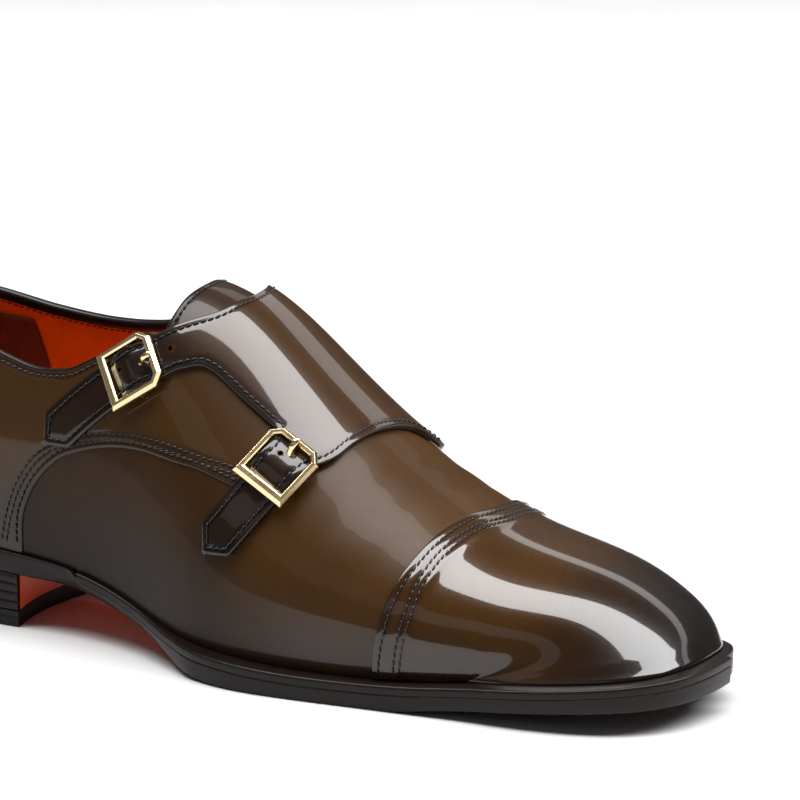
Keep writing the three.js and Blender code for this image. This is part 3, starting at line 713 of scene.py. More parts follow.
def plain_leather(name, light, dark, roughness, grain_size, relief, stretch=(1, 1, 1), tones=(0.2, 0.85)):
    """Lining, sole and edge leathers: two tones of clouds and a grain."""
    paint = Paint(name, specular_ior_level=0.22)
    clouds = paint.noise(0.012, 4, 0.55, stretch)
    fibres = paint.noise(grain_size, 4, 0.65, stretch)
    tone = paint.clamp(clouds * 0.7 + fibres * 0.5 - 0.1 + paint.stored("shade") * 0.5)
    paint.feed("Base Color", paint.ramp(tone, ((tones[0], tint(light)), (tones[1], tint(dark)))))
    paint.feed("Roughness", fibres * 0.2 + (roughness - 0.1))
    paint.bump(fibres + clouds * 0.5, 0.6, relief)
    return paint.material


def thread(name, color):
    paint = Paint(name, specular_ior_level=0.5)
    twist = paint.noise(0.0004, 2, 0.5)
    paint.feed("Base Color", paint.ramp(twist, ((0.25, tint(color, 0.5)), (0.8, tint(color, 1.6)))))
    paint.feed("Roughness", twist * 0.2 + 0.28)
    paint.bump(twist, 0.5, 0.0001)
    return paint.material


def polished_brass(name, color):
    paint = Paint(name, metallic=1.0)
    wear = paint.noise(0.003, 4, 0.6)
    lines = paint.noise(0.0002, 3, 0.5, (1, 6, 1))
    paint.feed("Base Color", paint.ramp(wear, ((0.2, tint(color, 0.86)), (0.8, tint(color)))))
    paint.feed("Roughness", wear * 0.1 + lines * 0.06 + 0.1)
    paint.bump(lines, 0.12, 0.00002)
    return paint.material


# ---------- sizes and colours ----------
def color_property(name, description, default):
    return bpy.props.FloatVectorProperty(
        name=name, description=description, subtype="COLOR", size=3, min=0, max=1, default=default
    )


def length_property(name, description, default):
    return bpy.props.FloatProperty(
        name=name, description=description, subtype="DISTANCE", unit="LENGTH", precision=5,
        min=0, default=default,
    )


class ShoeSizes(bpy.types.PropertyGroup):
    """Sizes of the shoe's leather and sewing."""

    pitch: length_property("Stitch length", "From one stitch to the next", 0.00235)
    thread: length_property("Thread radius", "Half the thickness of the sewing thread", 0.00027)
    inset: length_property("Seam inset", "From a cut edge to its row of stitches", 0.0017)
    roll: length_property("Edge radius", "Rounding of a cut leather edge", 0.0004)
    valley: length_property("Seam depth", "How deep a row of stitches pulls the leather in", 0.00016)
    double: length_property("Row spacing", "Between the two rows of a double seam", 0.0019)
    hole: length_property("Hole radius", "Radius of a strap's punched hole", 0.00085)


class ShoeColors(bpy.types.PropertyGroup):
    """Colours of the shoe's leathers, thread and metal."""

    light: color_property("Light calf", "Where the patina is lightest", (0.05, 0.0198, 0.0022))
    middle: color_property("Brown calf", "The patina's main tone", (0.021, 0.0074, 0.0011))
    dark: color_property("Burnished calf", "At the toe, edges and straps", (0.0034, 0.0017, 0.0011))
    lining: color_property("Lining", "Lining and sock", (0.9, 0.155, 0.005))
    sole: color_property("Sole", "The sole's painted underside", (0.75, 0.085, 0.012))
    edge: color_property("Sole edge", "Waxed edge of welt, sole and heel", (0.0085, 0.0048, 0.0042))
    thread: color_property("Thread", "Sewing thread of the upper", (0.009, 0.007, 0.006))
    brass: color_property("Buckles", "Plated brass", (0.95, 0.73, 0.42))


def sizes():
    """The sizes in millimetres, by name."""
    group = bpy.context.scene.shoe_sizes
    return {name: getattr(group, name) / MM for name in ShoeSizes.__annotations__}


def colors():
    return bpy.context.scene.shoe_colors


def kept(name, make, *values, **settings):
    """A material that is made once and then found by its name."""
    return bpy.data.materials.get(name) or make(name, *values, **settings)


def calf(name="calf", darker=1.0, roughness=0.4, coat=0.7):
    group = colors()
    tones = [tuple(c * darker for c in tone) for tone in (group.light, group.middle, group.dark)]
    return kept(name, patina_leather, *tones, roughness, coat)


def sewing_thread():
    return kept("sewing_thread", thread, colors().thread)


def lining_leather(name):
    lining = colors().lining
    return plain_leather(name, lining, tint(lining, 0.6), 0.5, 0.0012, 0.00012)


def sole_edge():
    waxed, grain = colors().edge, (0.25, 0.25, 2.2)
    return kept(
        "sole_edge", plain_leather, tint(waxed, 1.8), tint(waxed, 0.6), 0.34, 0.0016, 0.00008, grain
    )


def painted_sole():
    group = colors()
    return kept(
        "painted_sole", plain_leather, group.sole, group.edge, 0.42, 0.001, 0.00006, tones=(0.62, 0.97)
    )


# ---------- leather pieces ----------
TOPLINE = {
    -1: ((10, 0.54), (30, 0.57), (52, 0.61), (68, 0.645), (80, 0.659), (90, 0.65), (99, 0.615),
         (105, 0.583), (113, 0.53), (125, 0.48)),
    1: ((10, 0.54), (30, 0.57), (52, 0.592), (68, 0.596), (80, 0.592), (90, 0.583), (99, 0.568),
        (105, 0.553), (113, 0.525), (125, 0.48)),
}
THROAT = {"start": 125, "end": 147, "girth": 0.48}
WALL = 2  # the upper with its lining
VAMP_FLESH = -1.3  # the height of the vamp's underside above the last
LINING_TOP = -1.4


def topline_girth(side, u):
    """How far round the last the upper reaches, on one side, at stations u."""
    x = last_points(u, side * 0.58)[..., 0]
    share = np.clip((x - THROAT["start"]) / (THROAT["end"] - THROAT["start"]), 0, 1)
    rounded = THROAT["girth"] * np.sqrt(1 - share ** 2)
    return np.where(x <= THROAT["start"], read_table(TOPLINE[side], x), rounded)


def whole_upper_net():
    """The net of the whole upper below its topline, both sides joined."""
    throat_x = mix(THROAT["start"], THROAT["end"], np.sin(np.linspace(0, math.pi / 2, 14)))
    throat = station_at(throat_x, 0)
    stations = np.concatenate([
        np.linspace(0, throat[0], 66), throat[1:-1], np.linspace(throat[-1], 1, 112),
    ])
    grids = []
    for side in SIDES:
        top = np.where(stations < throat[-1] - 1e-6, topline_girth(side, stations), 0)
        girth = mix(1, top[:, None], np.linspace(0, 1, 50)[None, :])
        grids.append(np.stack([np.broadcast_to(stations[:, None], girth.shape), side * girth], -1))
    return Net(grids)


# burnished darkness at the toe and heel, and painted shade down by the welt crease
BURNISH_AND_SHADE = {"plain": 0.1, "toe": 0.75, "heel": 0.35, "welt": 0.38}
TOE_BURNISH = (246, 290)  # x where it starts and where it's full
HEEL_BURNISH = (26, 2)
WELT_SHADE = (0.8, 1)  # painted shade by the welt crease, where the upper meets the welt: the same in v


def burnish_and_shade(net):
    """The patina's darkness at the toe and heel, and painted shade down by the welt crease."""
    x = net.base[:, 0]
    return (
        BURNISH_AND_SHADE["plain"] + BURNISH_AND_SHADE["toe"] * smooth(*TOE_BURNISH, x)
        # the welt term is painted shade down by the welt crease
        + BURNISH_AND_SHADE["heel"] * smooth(*HEEL_BURNISH, x) + BURNISH_AND_SHADE["welt"] * smooth(*WELT_SHADE, abs(net.v))
    )


CREASES = (  # x at v = 0 and its lean as v grows, depth and half width, and the v it spans
    {"x": 197, "lean": 9, "depth": 0.28, "width": 4.0, "from": -0.72, "to": 0.55},
    {"x": 206, "lean": 11, "depth": 0.2, "width": 3.2, "from": -0.6, "to": 0.5},
)


def crease_depth(net):
    """Soft troughs and ridges across the ball, where the shoe bends."""
    x = net.base[:, 0]
    depth = np.zeros_like(x)
    for crease in CREASES:
        centre = crease["x"] + crease["lean"] * net.v
        along = smooth(crease["from"] - 0.15, crease["from"] + 0.1, net.v)
        along = along * (1 - smooth(crease["to"] - 0.1, crease["to"] + 0.15, net.v))
        trough = bell(x, centre, crease["width"])
        ridge = 0.6 * bell(x, centre + 2 * crease["width"], crease["width"])
        depth += crease["depth"] * along * (trough - ridge)
    return depth


CUT_EDGE = {"dip_reach": 0.7, "shade_reach": 1.3, "rim_shade": 0.68}
# darker along the seams: partly burnished, partly painted shade in the pulled-in leather
SEAM = {"width": 0.75, "shade": 0.22, "shade_width": 1.1}


def make_layer(name, net, bed, top, material, shade, polish, *, is_edge=None, rows=(),
               replaces=(), dip=0.12, edge_shade=0.22):
    """A leather piece with rounded edges, its seams pulled in, and its patina and painted shade stored.

    dip and edge_shade are how far its cut edges are pressed down and darkened.

    Returns the stitch paths on it: the row inside its cut edges, then the given rows.
    """
    size = sizes()
    bed = np.broadcast_to(bed, net.u.shape) + net.rise
    top = np.broadcast_to(top, net.u.shape) + net.rise
    shade = np.broadcast_to(shade, net.u.shape).copy()
    paths = list(rows)
    if is_edge:
        paths += row_inside(net, top, is_edge, size["inset"])
        distance = net.edge_distance(is_edge)
        top = top - dip * np.exp(-distance / CUT_EDGE["dip_reach"])
        shade += edge_shade * np.exp(-distance / CUT_EDGE["shade_reach"])
    if paths:
        seam = path_distance(net.base + net.normal * top[:, None], paths)
        top = top - size["valley"] * bell(seam, 0, SEAM["width"])
        # painted shade in the pulled-in seam, partly burnishing too
        shade += SEAM["shade"] * bell(seam, 0, SEAM["shade_width"])
    points, faces, behind = leather_layer(net, bed, top, size["roll"])
    shade = shade[behind]
    shade[len(net.u):] = np.maximum(shade[len(net.u):], CUT_EDGE["rim_shade"])
    new_piece(name, points, faces, material, replaces, {
        "shade": np.clip(shade, 0, 1),
        "polish": np.broadcast_to(polish, net.u.shape)[behind],
    })
    return paths


def path_distance(points, paths):
    """How far each point lies from the nearest stitch path."""
    dense = []
    for line, _ in paths:
        lengths = arc_lengths(line)
        dense.append(resample(line, lengths, np.arange(0, lengths[-1], 0.3)))
    return nearest_distance(points, np.vstack(dense))


def sew(name, paths, material=None, slant=0.16):
    size = sizes()
    points, faces = stitch_mesh(paths, size["pitch"], size["thread"], slant)
    new_piece(name, points, faces, material or sewing_thread())


def double_row(rows, height):
    """Two parallel stitch paths along rows of (x, v)."""
    points, normals = row_on_last(rows, height)
    heading = unit(np.gradient(points, axis=0))
    aside = unit(np.cross(normals, heading)) * sizes()["double"] / 2
    return [(points + aside, normals), (points - aside, normals)]


# Heights above the last of the layers' outer faces, and of the apron's underside (bed).
LAYER = {"quarter": 0.65, "cap": 1.5, "cap_front": 1.1, "apron": 2.4, "bed": 0.3}
ARCH = {  # the quarter's cut edge: (x, girth), from the welt crease up and forward
    -1: ((75.4, 1), (75.6, 0.987), (76.3, 0.946), (79.8, 0.896), (85.6, 0.851), (92, 0.819),
         (100.7, 0.796), (110, 0.777), (122, 0.759), (135, 0.743), (146, 0.722), (156, 0.706),
         (164, 0.69), (174, 0.63)),
    1: ((75.4, 1), (75.6, 0.987), (76.3, 0.946), (79.8, 0.896), (85.6, 0.851), (92, 0.82),
        (100.7, 0.797), (110, 0.778), (122, 0.76), (135, 0.74), (146, 0.72), (156, 0.7),
        (166, 0.655), (176, 0.56)),
}
ARCH_ROWS = {  # the double seam behind that edge
    -1: ((69, 0.986), (72, 0.934), (76, 0.883), (85, 0.819), (95, 0.79), (104, 0.769),
         (116, 0.751), (130, 0.731), (146, 0.705), (160, 0.668)),
    1: ((69, 0.986), (72, 0.934), (76, 0.883), (85, 0.819), (95, 0.79), (104, 0.769),
        (116, 0.749), (130, 0.727), (146, 0.695), (156, 0.655)),
}
QUARTER_TOP = 118  # the x where the topline runs under the apron
UNDER_APRON = {-1: ((150, 0.45), (172, 0.42)), 1: ((145, 0.4), (165, 0.36))}


def sided(rows, side):
    return [(x, side * v) for x, v in rows]


def quarter_grid(side):
    """From the sole and the arched front edge up to the topline, on one side."""
    heel_x = np.linspace(0.0, 1.0, 34)[:-1]
    crease_end = station_at(ARCH[side][0][0], side)
    crease = np.stack([heel_x * crease_end, np.full(heel_x.shape, float(side))], -1)
    arch = curve_spots(sided(ARCH[side], side), 110)
    low = np.vstack([crease, arch])
    top_u = np.linspace(0, station_at(QUARTER_TOP, side * 0.5), 90)
    top = np.stack([top_u, side * topline_girth(side, top_u)], -1)
    hidden = curve_spots([(QUARTER_TOP, top[-1, 1]), *sided(UNDER_APRON[side], side)], 54)[1:]
    top = np.vstack([top, hidden])
    return ruled_patch(low, top[: len(low)], NEAR_EDGE, NEAR_EDGE, 40)


def is_quarter_edge(places):
    """The arch and the topline, but not the crease or what the apron covers."""
    u, v = places[:, 0], places[:, 1]
    x = last_points(u, v)[:, 0]
    free = (abs(v) < 0.985) & (u > 0.001)
    return free & ((x < 165) & ((abs(v) > 0.64) | (x < 117)))


class SHOE_OT_vamp(bpy.types.Operator):
    """Make the vamp and the lining, the two layers under everything else"""

    bl_idname = "shoe.vamp"
    bl_label = "Vamp and lining"

    def execute(self, context):
        net = whole_upper_net()
        shade = burnish_and_shade(net) + 0.2 * smooth(170, 150, net.base[:, 0])
        top = -crease_depth(net)
        # dull on top and glossy down the flanks
        polish = 0.12 + 0.7 * smooth(0.68, 0.86, abs(net.v)) * smooth(150, 200, net.base[:, 0])
        make_layer("vamp", net, VAMP_FLESH, top, calf(), shade, polish,
                   replaces=("upper",))
        lining = lining_leather("lining_leather")
        make_layer("lining", net, -WALL, LINING_TOP, lining, 0, 0)
        return {"FINISHED"}


class SHOE_OT_quarters(bpy.types.Operator):
    """Make the quarters round the heel, with their arched front edges and seams"""

    bl_idname = "shoe.quarters"
    bl_label = "Quarters"

    def execute(self, context):
        net = Net([quarter_grid(side) for side in SIDES])
        height = LAYER["quarter"]
        rows = [path for side in SIDES for path in double_row(sided(ARCH_ROWS[side], side), height)]
        shade = burnish_and_shade(net) + 0.02
        paths = make_layer(
            "quarters", net, 0.02, height, calf(), shade, 0.75,
            is_edge=is_quarter_edge, rows=rows,
        )
        sew("quarter_stitches", paths)
        return {"FINISHED"}


CAP_EDGE = (  # (v, x)
    (-1, 210.4), (-0.8, 213.4), (-0.54, 217.8), (-0.2, 220.9), (0.1, 222.2), (0.4, 220.8), (0.7, 216.4),
    (1, 212),
)
CAP_ROWS = (  # its double seam: (x, v)
    (217.8, -0.975), (219.2, -0.87), (220.6, -0.765), (221.6, -0.64), (223.1, -0.49), (225.3, -0.285),
    (227.6, 0.05), (227.6, 0.29), (226, 0.5), (222.5, 0.75), (218.8, 0.975),
)
CAP_STEP = (7.6, 9.2)  # how far in front of its edge the cap drops to one layer
CAP_NEAR = (0, 0.5, 1, 1.4, 1.8, 2.2, 2.8, 3.6, 4.4, 5, 5.5, 6, 6.5, 7, 7.5, 8, 8.6, 9.4)


class SHOE_OT_toe_cap(bpy.types.Operator):
    """Make the straight toe cap with its single and double seams"""

    bl_idname = "shoe.toe_cap"
    bl_label = "Toe cap"

    def execute(self, context):
        v = np.linspace(-0.994, 0.994, 150)
        rear = spots_at(read_table(CAP_EDGE, v), v)
        front = np.stack([np.full(v.shape, 0.999), v], -1)
        net = Net([ruled_patch(rear, front, CAP_NEAR, PLAIN_EDGE, 56)])

        def is_rear(places):
            line = read_table(CAP_EDGE, places[:, 1])
            return abs(last_points(places[:, 0], places[:, 1])[:, 0] - line) < 0.2

        back = net.edge_distance(is_rear)
        step = smooth(*CAP_STEP, back)
        top = mix(LAYER["cap"], LAYER["cap_front"], step)
        paths = make_layer(
            "cap_leather", net, 0.05, top, calf("cap_calf", 0.9, 0.26, 1.0),
            burnish_and_shade(net), 1.0, is_edge=is_rear, rows=double_row(CAP_ROWS, LAYER["cap"]),
            replaces=("toe_cap",),
        )
        sew("cap_stitches", paths)
        return {"FINISHED"}


# ---------- straps ----------
STRAPS = {  # (x, z) in the side view
    "upper": {"root": (128.8, 93.6), "buckle": (116.4, 86.4), "tip": (86.3, 61.4), "root_width": 13.6},
    "lower": {"root": (174.6, 68.8), "buckle": (171.6, 63.4), "tip": (153.8, 38.2), "root_width": 17.5},
}
HOLES = ((112.8, 86), (128, 93.5), (170.9, 66.1))
HOLE_REACH = (0.9, 8)  # the heights above the last between which the punch cuts
STRAP_WIDTH = 13.2
STRAP_POINT = 6.5  # the length of the point at its tip
STRAP_RISE = 2  # how far a strap lifts over its buckle's pivot
BULGE = 9  # and how far either side of the pivot it comes down
ACROSS = (-1, -0.93, -0.86, -0.79, -0.73, -0.67, -0.58, -0.42, -0.21, 0,
          0.21, 0.42, 0.58, 0.67, 0.73, 0.79, 0.86, 0.93, 1)
APRON_TOP = (  # (v, x)
    (-0.494, 124.7), (-0.44, 130.3), (-0.37, 135.3), (-0.28, 138.5), (-0.1, 140), (0.09, 138.7),
    (0.28, 134), (0.45, 125), (0.56, 112), (0.66, 100),
)
APRON_FRONT = (  # (v, x)
    (-0.475, 182), (-0.4, 184.2), (-0.28, 185.6), (0.05, 186.9), (0.2, 188.5), (0.3, 191.5),
    (0.38, 193.5), (0.5, 189), (0.66, 172),
)
NOTCH_EDGE = (  # the edge between the straps: (x, v)
    (133, -0.569), (136.3, -0.54), (141, -0.513), (146, -0.507), (153, -0.51), (160, -0.513),
    (166, -0.519),
)
APRON_INNER = 0.66  # the v of its stitched-down inner edge
APRON_OUTER = -0.33  # the v where it starts to part into the straps
APRON_SKIVE = 0.4  # the v from which it thins towards the inner edge
NOTCH = {"top": 0.3, "bottom": 0.68}  # where the notch lies from top to front, as shares
SMOOTHING = 5  # how many rows either side even out the way the straps leave the apron


def strap_frames(strap, t):
    """Along a strap (t from 0 at its root to 1 at its tip): places, normals, headings, sides."""
    p0, p1, p2 = (np.array(strap[key], float) for key in ("root", "buckle", "tip"))
    bend = np.linalg.norm(p1 - p0) / (np.linalg.norm(p1 - p0) + np.linalg.norm(p2 - p1))
    control = (p1 - p0 * (1 - bend) ** 2 - p2 * bend ** 2) / (2 * bend * (1 - bend))

    def at(s):
        s = np.reshape(s, (-1, 1))
        return p0 * (1 - s) ** 2 + control * (2 * s * (1 - s)) + p2 * s ** 2

    here, ahead = at(t), at(np.asarray(t) + 0.01)
    spot, following = side_spots(*here.T), side_spots(*ahead.T)
    origin = last_points(*spot.T)
    normal = last_normals(*spot.T)
    heading = last_points(*following.T) - origin
    heading = unit(heading - normal * np.sum(heading * normal, -1, keepdims=True))
    return origin, normal, heading, np.cross(normal, heading), bend


def strap_grid(strap):
    """Rows of (u, v, rise) down one strap to its pointed tip."""
    t = np.linspace(0, 1, 64)
    origin, _, _, across, bend = strap_frames(strap, t)
    length = arc_lengths(strap_frames(strap, np.linspace(0, 1, 21))[0])[-1]
    width = mix(strap["root_width"], STRAP_WIDTH, np.minimum(1, t / (bend / 2)))
    width = width * np.maximum(0.1, np.minimum(1, (1 - t) * length / STRAP_POINT))
    edge = origin[:, None] + across[:, None] * (width[:, None] / 2 * np.array(ACROSS))[..., None]
    spots = side_spots(edge[..., 0], edge[..., 2])
    away = np.minimum(abs((t - bend) * length), BULGE)
    rise = STRAP_RISE * np.cos(math.pi / 2 * away / BULGE) ** 2
    return np.concatenate([spots, np.broadcast_to(rise[:, None, None], spots.shape[:2] + (1,))], -1)


def apron_grids():
    """The apron over the instep, its two straps, and what joins them, as grids."""
    straps = {name: strap_grid(strap) for name, strap in STRAPS.items()}
    upper, lower = straps["upper"][0], straps["lower"][0]
    share = np.linspace(0, 1, 20)
    corner_a, corner_b = last_points(*upper[-1, :2]), last_points(*lower[0, :2])
    x = mix(corner_a[0], corner_b[0], share)
    v = read_table(NOTCH_EDGE, x)
    v = v + (upper[-1, 1] - v[0]) * (1 - share) ** 4 + (lower[0, 1] - v[-1]) * share ** 4
    notch = np.concatenate([spots_at(x, v), np.zeros((len(x), 1))], -1)
    root = np.vstack([upper, notch[1:-1], lower])
    side_share = (np.array(ACROSS) + 1) / 2
    shares = np.concatenate([
        NOTCH["top"] * side_share,
        mix(NOTCH["top"], NOTCH["bottom"], share[1:-1]),
        mix(NOTCH["bottom"], 1, side_share),
    ])
    rows = []
    for v in np.linspace(APRON_INNER, APRON_OUTER, 84):
        x = mix(read_table(APRON_TOP, v), read_table(APRON_FRONT, v), shares)
        rows.append(np.concatenate([spots_at(x, v), np.zeros((len(x), 1))], -1))
    main = np.stack(rows)
    ahead = main[-1] - main[-2]
    reach = np.abs(root[:, 1] - main[-1, :, 1]) / np.abs(ahead[:, 1])
    into = root - main[-1]
    into[: len(upper)] = straps["upper"][1] - straps["upper"][0]
    into[-len(lower):] = straps["lower"][1] - straps["lower"][0]
    scale = np.linalg.norm(root[:, :2] - main[-1, :, :2], axis=1) / np.linalg.norm(into[:, :2], axis=1)
    start, end = ahead * reach[:, None], into * scale[:, None]
    window = np.hanning(2 * SMOOTHING + 3)
    spread = window[1:-1] / window.sum()
    end = np.stack([
        np.convolve(np.pad(column, SMOOTHING, "edge"), spread, "valid") for column in end.T
    ], -1)
    s = np.linspace(0, 1, 17)[:, None, None]
    join = (
        main[-1] * (1 + 2 * s) * (1 - s) ** 2 + root * s ** 2 * (3 - 2 * s)
        + start * s * (1 - s) ** 2 - end * s ** 2 * (1 - s)
    )
    join[..., 2] = root[:, 2] * s[..., 0] ** 2
    join[-1] = root
    return [main, join, *straps.values()]


class SHOE_OT_straps(bpy.types.Operator):
    """Make the apron over the instep with its two straps, their seams and holes"""

    bl_idname = "shoe.straps"
    bl_label = "Apron and straps"

    def execute(self, context):
        net = Net(apron_grids())
        skive = smooth(APRON_SKIVE, APRON_INNER, net.v)
        top = mix(LAYER["apron"], LAYER["quarter"] + 0.1, skive)
        # darker down the straps and where it thins
        shade = 0.22 + 0.42 * smooth(-0.4, -0.56, net.v) + 0.1 * skive

        def is_cut(places):
            return places[:, 1] < APRON_INNER - 0.004

        paths = make_layer(
            "straps_and_apron", net, LAYER["bed"], top, calf("apron_calf", 1.0, 0.3, 0.9),
            shade, 0.85, is_edge=is_cut, replaces=("strap_apron",), dip=0.14,
            edge_shade=0.08,
        )
        sew("strap_stitches", paths)
        self.punch(bpy.data.objects["straps_and_apron"])
        return {"FINISHED"}

    def punch(self, piece):
        """Cuts the straps' round holes."""
        bodies = []
        for x, z in HOLES:
            spot = side_spots(np.array([x]), np.array([z]))[0]
            place, normal = last_points(*spot), last_normals(*spot)
            low, high = (place + normal * height for height in HOLE_REACH)
            bodies.append(rod(low, high, sizes()["hole"], 24))
        points, faces = join_bodies([(points, face_out(points, faces)) for points, faces in bodies])
        tool = new_object("punch", points, faces)
        mesh = tool.data
        cut = piece.modifiers.new("Holes", "BOOLEAN")
        cut.operation, cut.solver, cut.object = "DIFFERENCE", "EXACT", tool
        with bpy.context.temp_override(object=piece, active_object=piece):
            bpy.ops.object.modifier_apply(modifier=cut.name)
        bpy.data.objects.remove(tool)
        bpy.data.meshes.remove(mesh)
        piece.data.set_sharp_from_angle(angle=math.radians(HOLE_CORNER))


TONGUE = {"front": 170, "free": 155, "girth": 0.55, "under": -2.7, "thickness": 2}
TONGUE_TOP = (  # its top edge: (girth, x)
    (-0.55, 126), (-0.5, 121.3), (-0.36, 123), (-0.17, 124.5), (0.1, 122.5), (0.3, 120),
    (0.5, 119), (0.55, 124),
)


class SHOE_OT_tongue(bpy.types.Operator):
    """Make the tongue that shows above the apron"""

    bl_idname = "shoe.tongue"
    bl_label = "Tongue"

    def execute(self, context):
        v = np.linspace(-TONGUE["girth"], TONGUE["girth"], 80)
        top = spots_at(read_table(TONGUE_TOP, v), v)
        net = Net([ruled_patch(top, spots_at(TONGUE["front"], v), NEAR_EDGE, PLAIN_EDGE, 26)])

        def is_top(places):
            return last_points(places[:, 0], places[:, 1])[:, 0] < TONGUE["free"]

        paths = make_layer(
            "tongue_leather", net, TONGUE["under"] - TONGUE["thickness"], TONGUE["under"],
            calf(), 0.45, 0.4, is_edge=is_top, replaces=("tongue",), dip=0.25,
        )
        sew("tongue_stitches", paths)
        return {"FINISHED"}


# ---------- sweeps ----------
def sweep(profiles, closed):
    """Points and faces of a body from a row of equal rings, closed on itself or capped."""
    rings = len(profiles)
    ring = profiles.shape[1]
    index = np.arange(rings * ring).reshape(rings, ring)
    ahead = np.roll(index, -1, 0) if closed else index[1:]
    here = index if closed else index[:-1]
    side = np.stack([here, ahead, np.roll(ahead, -1, 1), np.roll(here, -1, 1)], -1)
    faces = side.reshape(-1, 4).tolist()
    if not closed:
        faces += [index[0].tolist(), index[-1][::-1].tolist()]
    return profiles.reshape(-1, 3), faces


def face_out(points, faces):
    """Turns a closed body's faces to point out."""
    volume = sum(
        np.dot(points[face[0]], np.cross(points[face[k]], points[face[k + 1]]))
        for face in faces for k in range(1, len(face) - 1)
    )
    return [face[::-1] for face in faces] if volume < 0 else faces


COLLAR = (  # the rolled edge's section: out of the wall, then up past the topline
    (0.5, -0.5), (0.62, 0.1), (0.45, 0.55), (-0.05, 0.85), (-0.8, 0.98), (-1.5, 0.82), (-2.1, 0.4),
    (-2.42, -0.3), (-2.5, -1.3), (-2.46, -2.3), (-2.2, -2.5), (-2.0, -2.2), (-1.8, -0.9), (-0.6, -0.7),
)
COLLAR_END = 116
BACK_LEAN = 0.12  # how much the collar's edge leans up at the back seam
COLLAR_SEAM = {"below": 3.3, "inside": 2.03}
HEEL_GRIP = {  # girths, then the x of its front edge, then heights above the last
    "top": 0.64, "bottom": 0.985, "front_top": 40, "front_bottom": 50, "outside": -2.05, "inside": -2.6,
}


class SHOE_OT_collar(bpy.types.Operator):
    """Make the collar's rolled edge, the seam under it and the heel grip"""

    bl_idname = "shoe.collar"
    bl_label = "Collar and heel grip"

    def execute(self, context):
        line = []
        for side in SIDES:
            u = np.linspace(0.0, station_at(COLLAR_END, side * 0.5), 110)
            half = np.stack([u, side * topline_girth(side, u)], -1)
            line.append(half[::-1] if side < 0 else half[1:])
        line = np.vstack(line)
        base, normal = last_points(*line.T), last_normals(*line.T)
        middle = len(line) // 2
        back = slice(middle - 2, middle + 3)
        normal[back] = unit(np.array((-1, 0, BACK_LEAN)))
        heading = unit(np.gradient(base, axis=0))
        up = unit(np.cross(normal, heading))
        up = up * np.sign(up[:, 2:])
        section = np.array(COLLAR)
        rings = (
            base[:, None] + normal[:, None] * section[None, :, :1] + up[:, None] * section[None, :, 1:]
        )
        points, faces = sweep(rings, False)
        new_piece(
            "collar_edge", points, face_out(points, faces), calf(),
            attributes={"shade": 0.9, "polish": 0.36},
        )
        seam = base - up * COLLAR_SEAM["below"] - normal * COLLAR_SEAM["inside"]
        lining_thread = thread("lining_thread", (0.16, 0.03, 0.008))
        sew("collar_stitches", [(seam, -normal)], lining_thread)
        self.heel_grip()
        return {"FINISHED"}

    def heel_grip(self):
        girth = np.linspace(HEEL_GRIP["top"], HEEL_GRIP["bottom"], 40)
        x = np.linspace(HEEL_GRIP["front_top"], HEEL_GRIP["front_bottom"], 40)
        grids = []
        for side in SIDES:
            front = spots_at(x, side * girth)
            back = np.stack([np.zeros(girth.shape), side * girth], -1)
            grids.append(ruled_patch(front, back, PLAIN_EDGE, PLAIN_EDGE, 24))
        suede = plain_leather(
            "heel_suede", (0.30, 0.075, 0.018), (0.12, 0.03, 0.008), 0.85, 0.0006, 0.0003
        )
        make_layer(
            "heel_grip", Net(grids), HEEL_GRIP["inside"], HEEL_GRIP["outside"], suede,
            0.4, 0,
        )


# ---------- bottom ----------
HEEL = {"breast": 74, "hollow": 6, "top_piece": 5.4, "taper": 1.2}
GAP = 0.3
WELT = {"thickness": 2.6, "inside": 5, "start": 96}
INSOLE = {"thickness": 2.8, "inset": 5.4}
SOCK = {"above": 0.3, "dish": 0.9}  # how far it lies over the insole, and dips in the middle
WAIST_TUCK = 3.4  # how far the sole's bottom edge draws in under the arch
BOTTOM_SKIN = 0.06  # how far the sole stops above its painted face
TREAD = (  # (x, height)
    (0, 21.6), (38, 19.9), (74, 17.4), (98, 14.4), (120, 8.6), (142, 2.6), (160, 0.4), (176, 0),
    (214, 0), (238, 2.8), (270, 5.8), (304, 8.1),
)


def tread_height(x):
    return read_table(TREAD, x)


def crease_height(x):
    """The height of the welt crease, straight from the toe's foot points to its tip."""
    foot, toe = last_points(TOE_FAN, 1), last_points(1, 0)
    low = last_points(0, 1)[0]
    at = last_points(station_at(np.clip(x, low, foot[0]), 1), 1)[..., 2]
    slope = (toe[2] - foot[2]) / (toe[0] - foot[0])
    return np.where(x >= foot[0], foot[2] + (x - foot[0]) * slope, at)


def seat_height(x):
    return crease_height(x) - GAP


def ringed(rings):
    """A closed body from loops that mirror themselves, one under the other, with strip caps."""
    count = len(rings[0])
    points = np.vstack(rings)
    faces = []
    for level in range(len(rings) - 1):
        here = level * count + np.arange(count)
        below = here + count
        faces += np.stack([here, below, np.roll(below, -1), np.roll(here, -1)], -1).tolist()
    for start, flip in ((0, False), (count * (len(rings) - 1), True)):
        for k in range(count // 2):
            corners = [k, k + 1, count - k - 1, (count - k) % count]
            corners = [c for i, c in enumerate(corners) if c != corners[i - 1]]
            face = [start + c for c in corners]
            faces.append(face[::-1] if flip else face)
    return points, face_out(points, faces)


def loop_at(offset, height):
    loop = outline(lambda x, side: sole_margin(x, side) + offset(x))
    return np.column_stack([loop, height(loop[:, 0])])


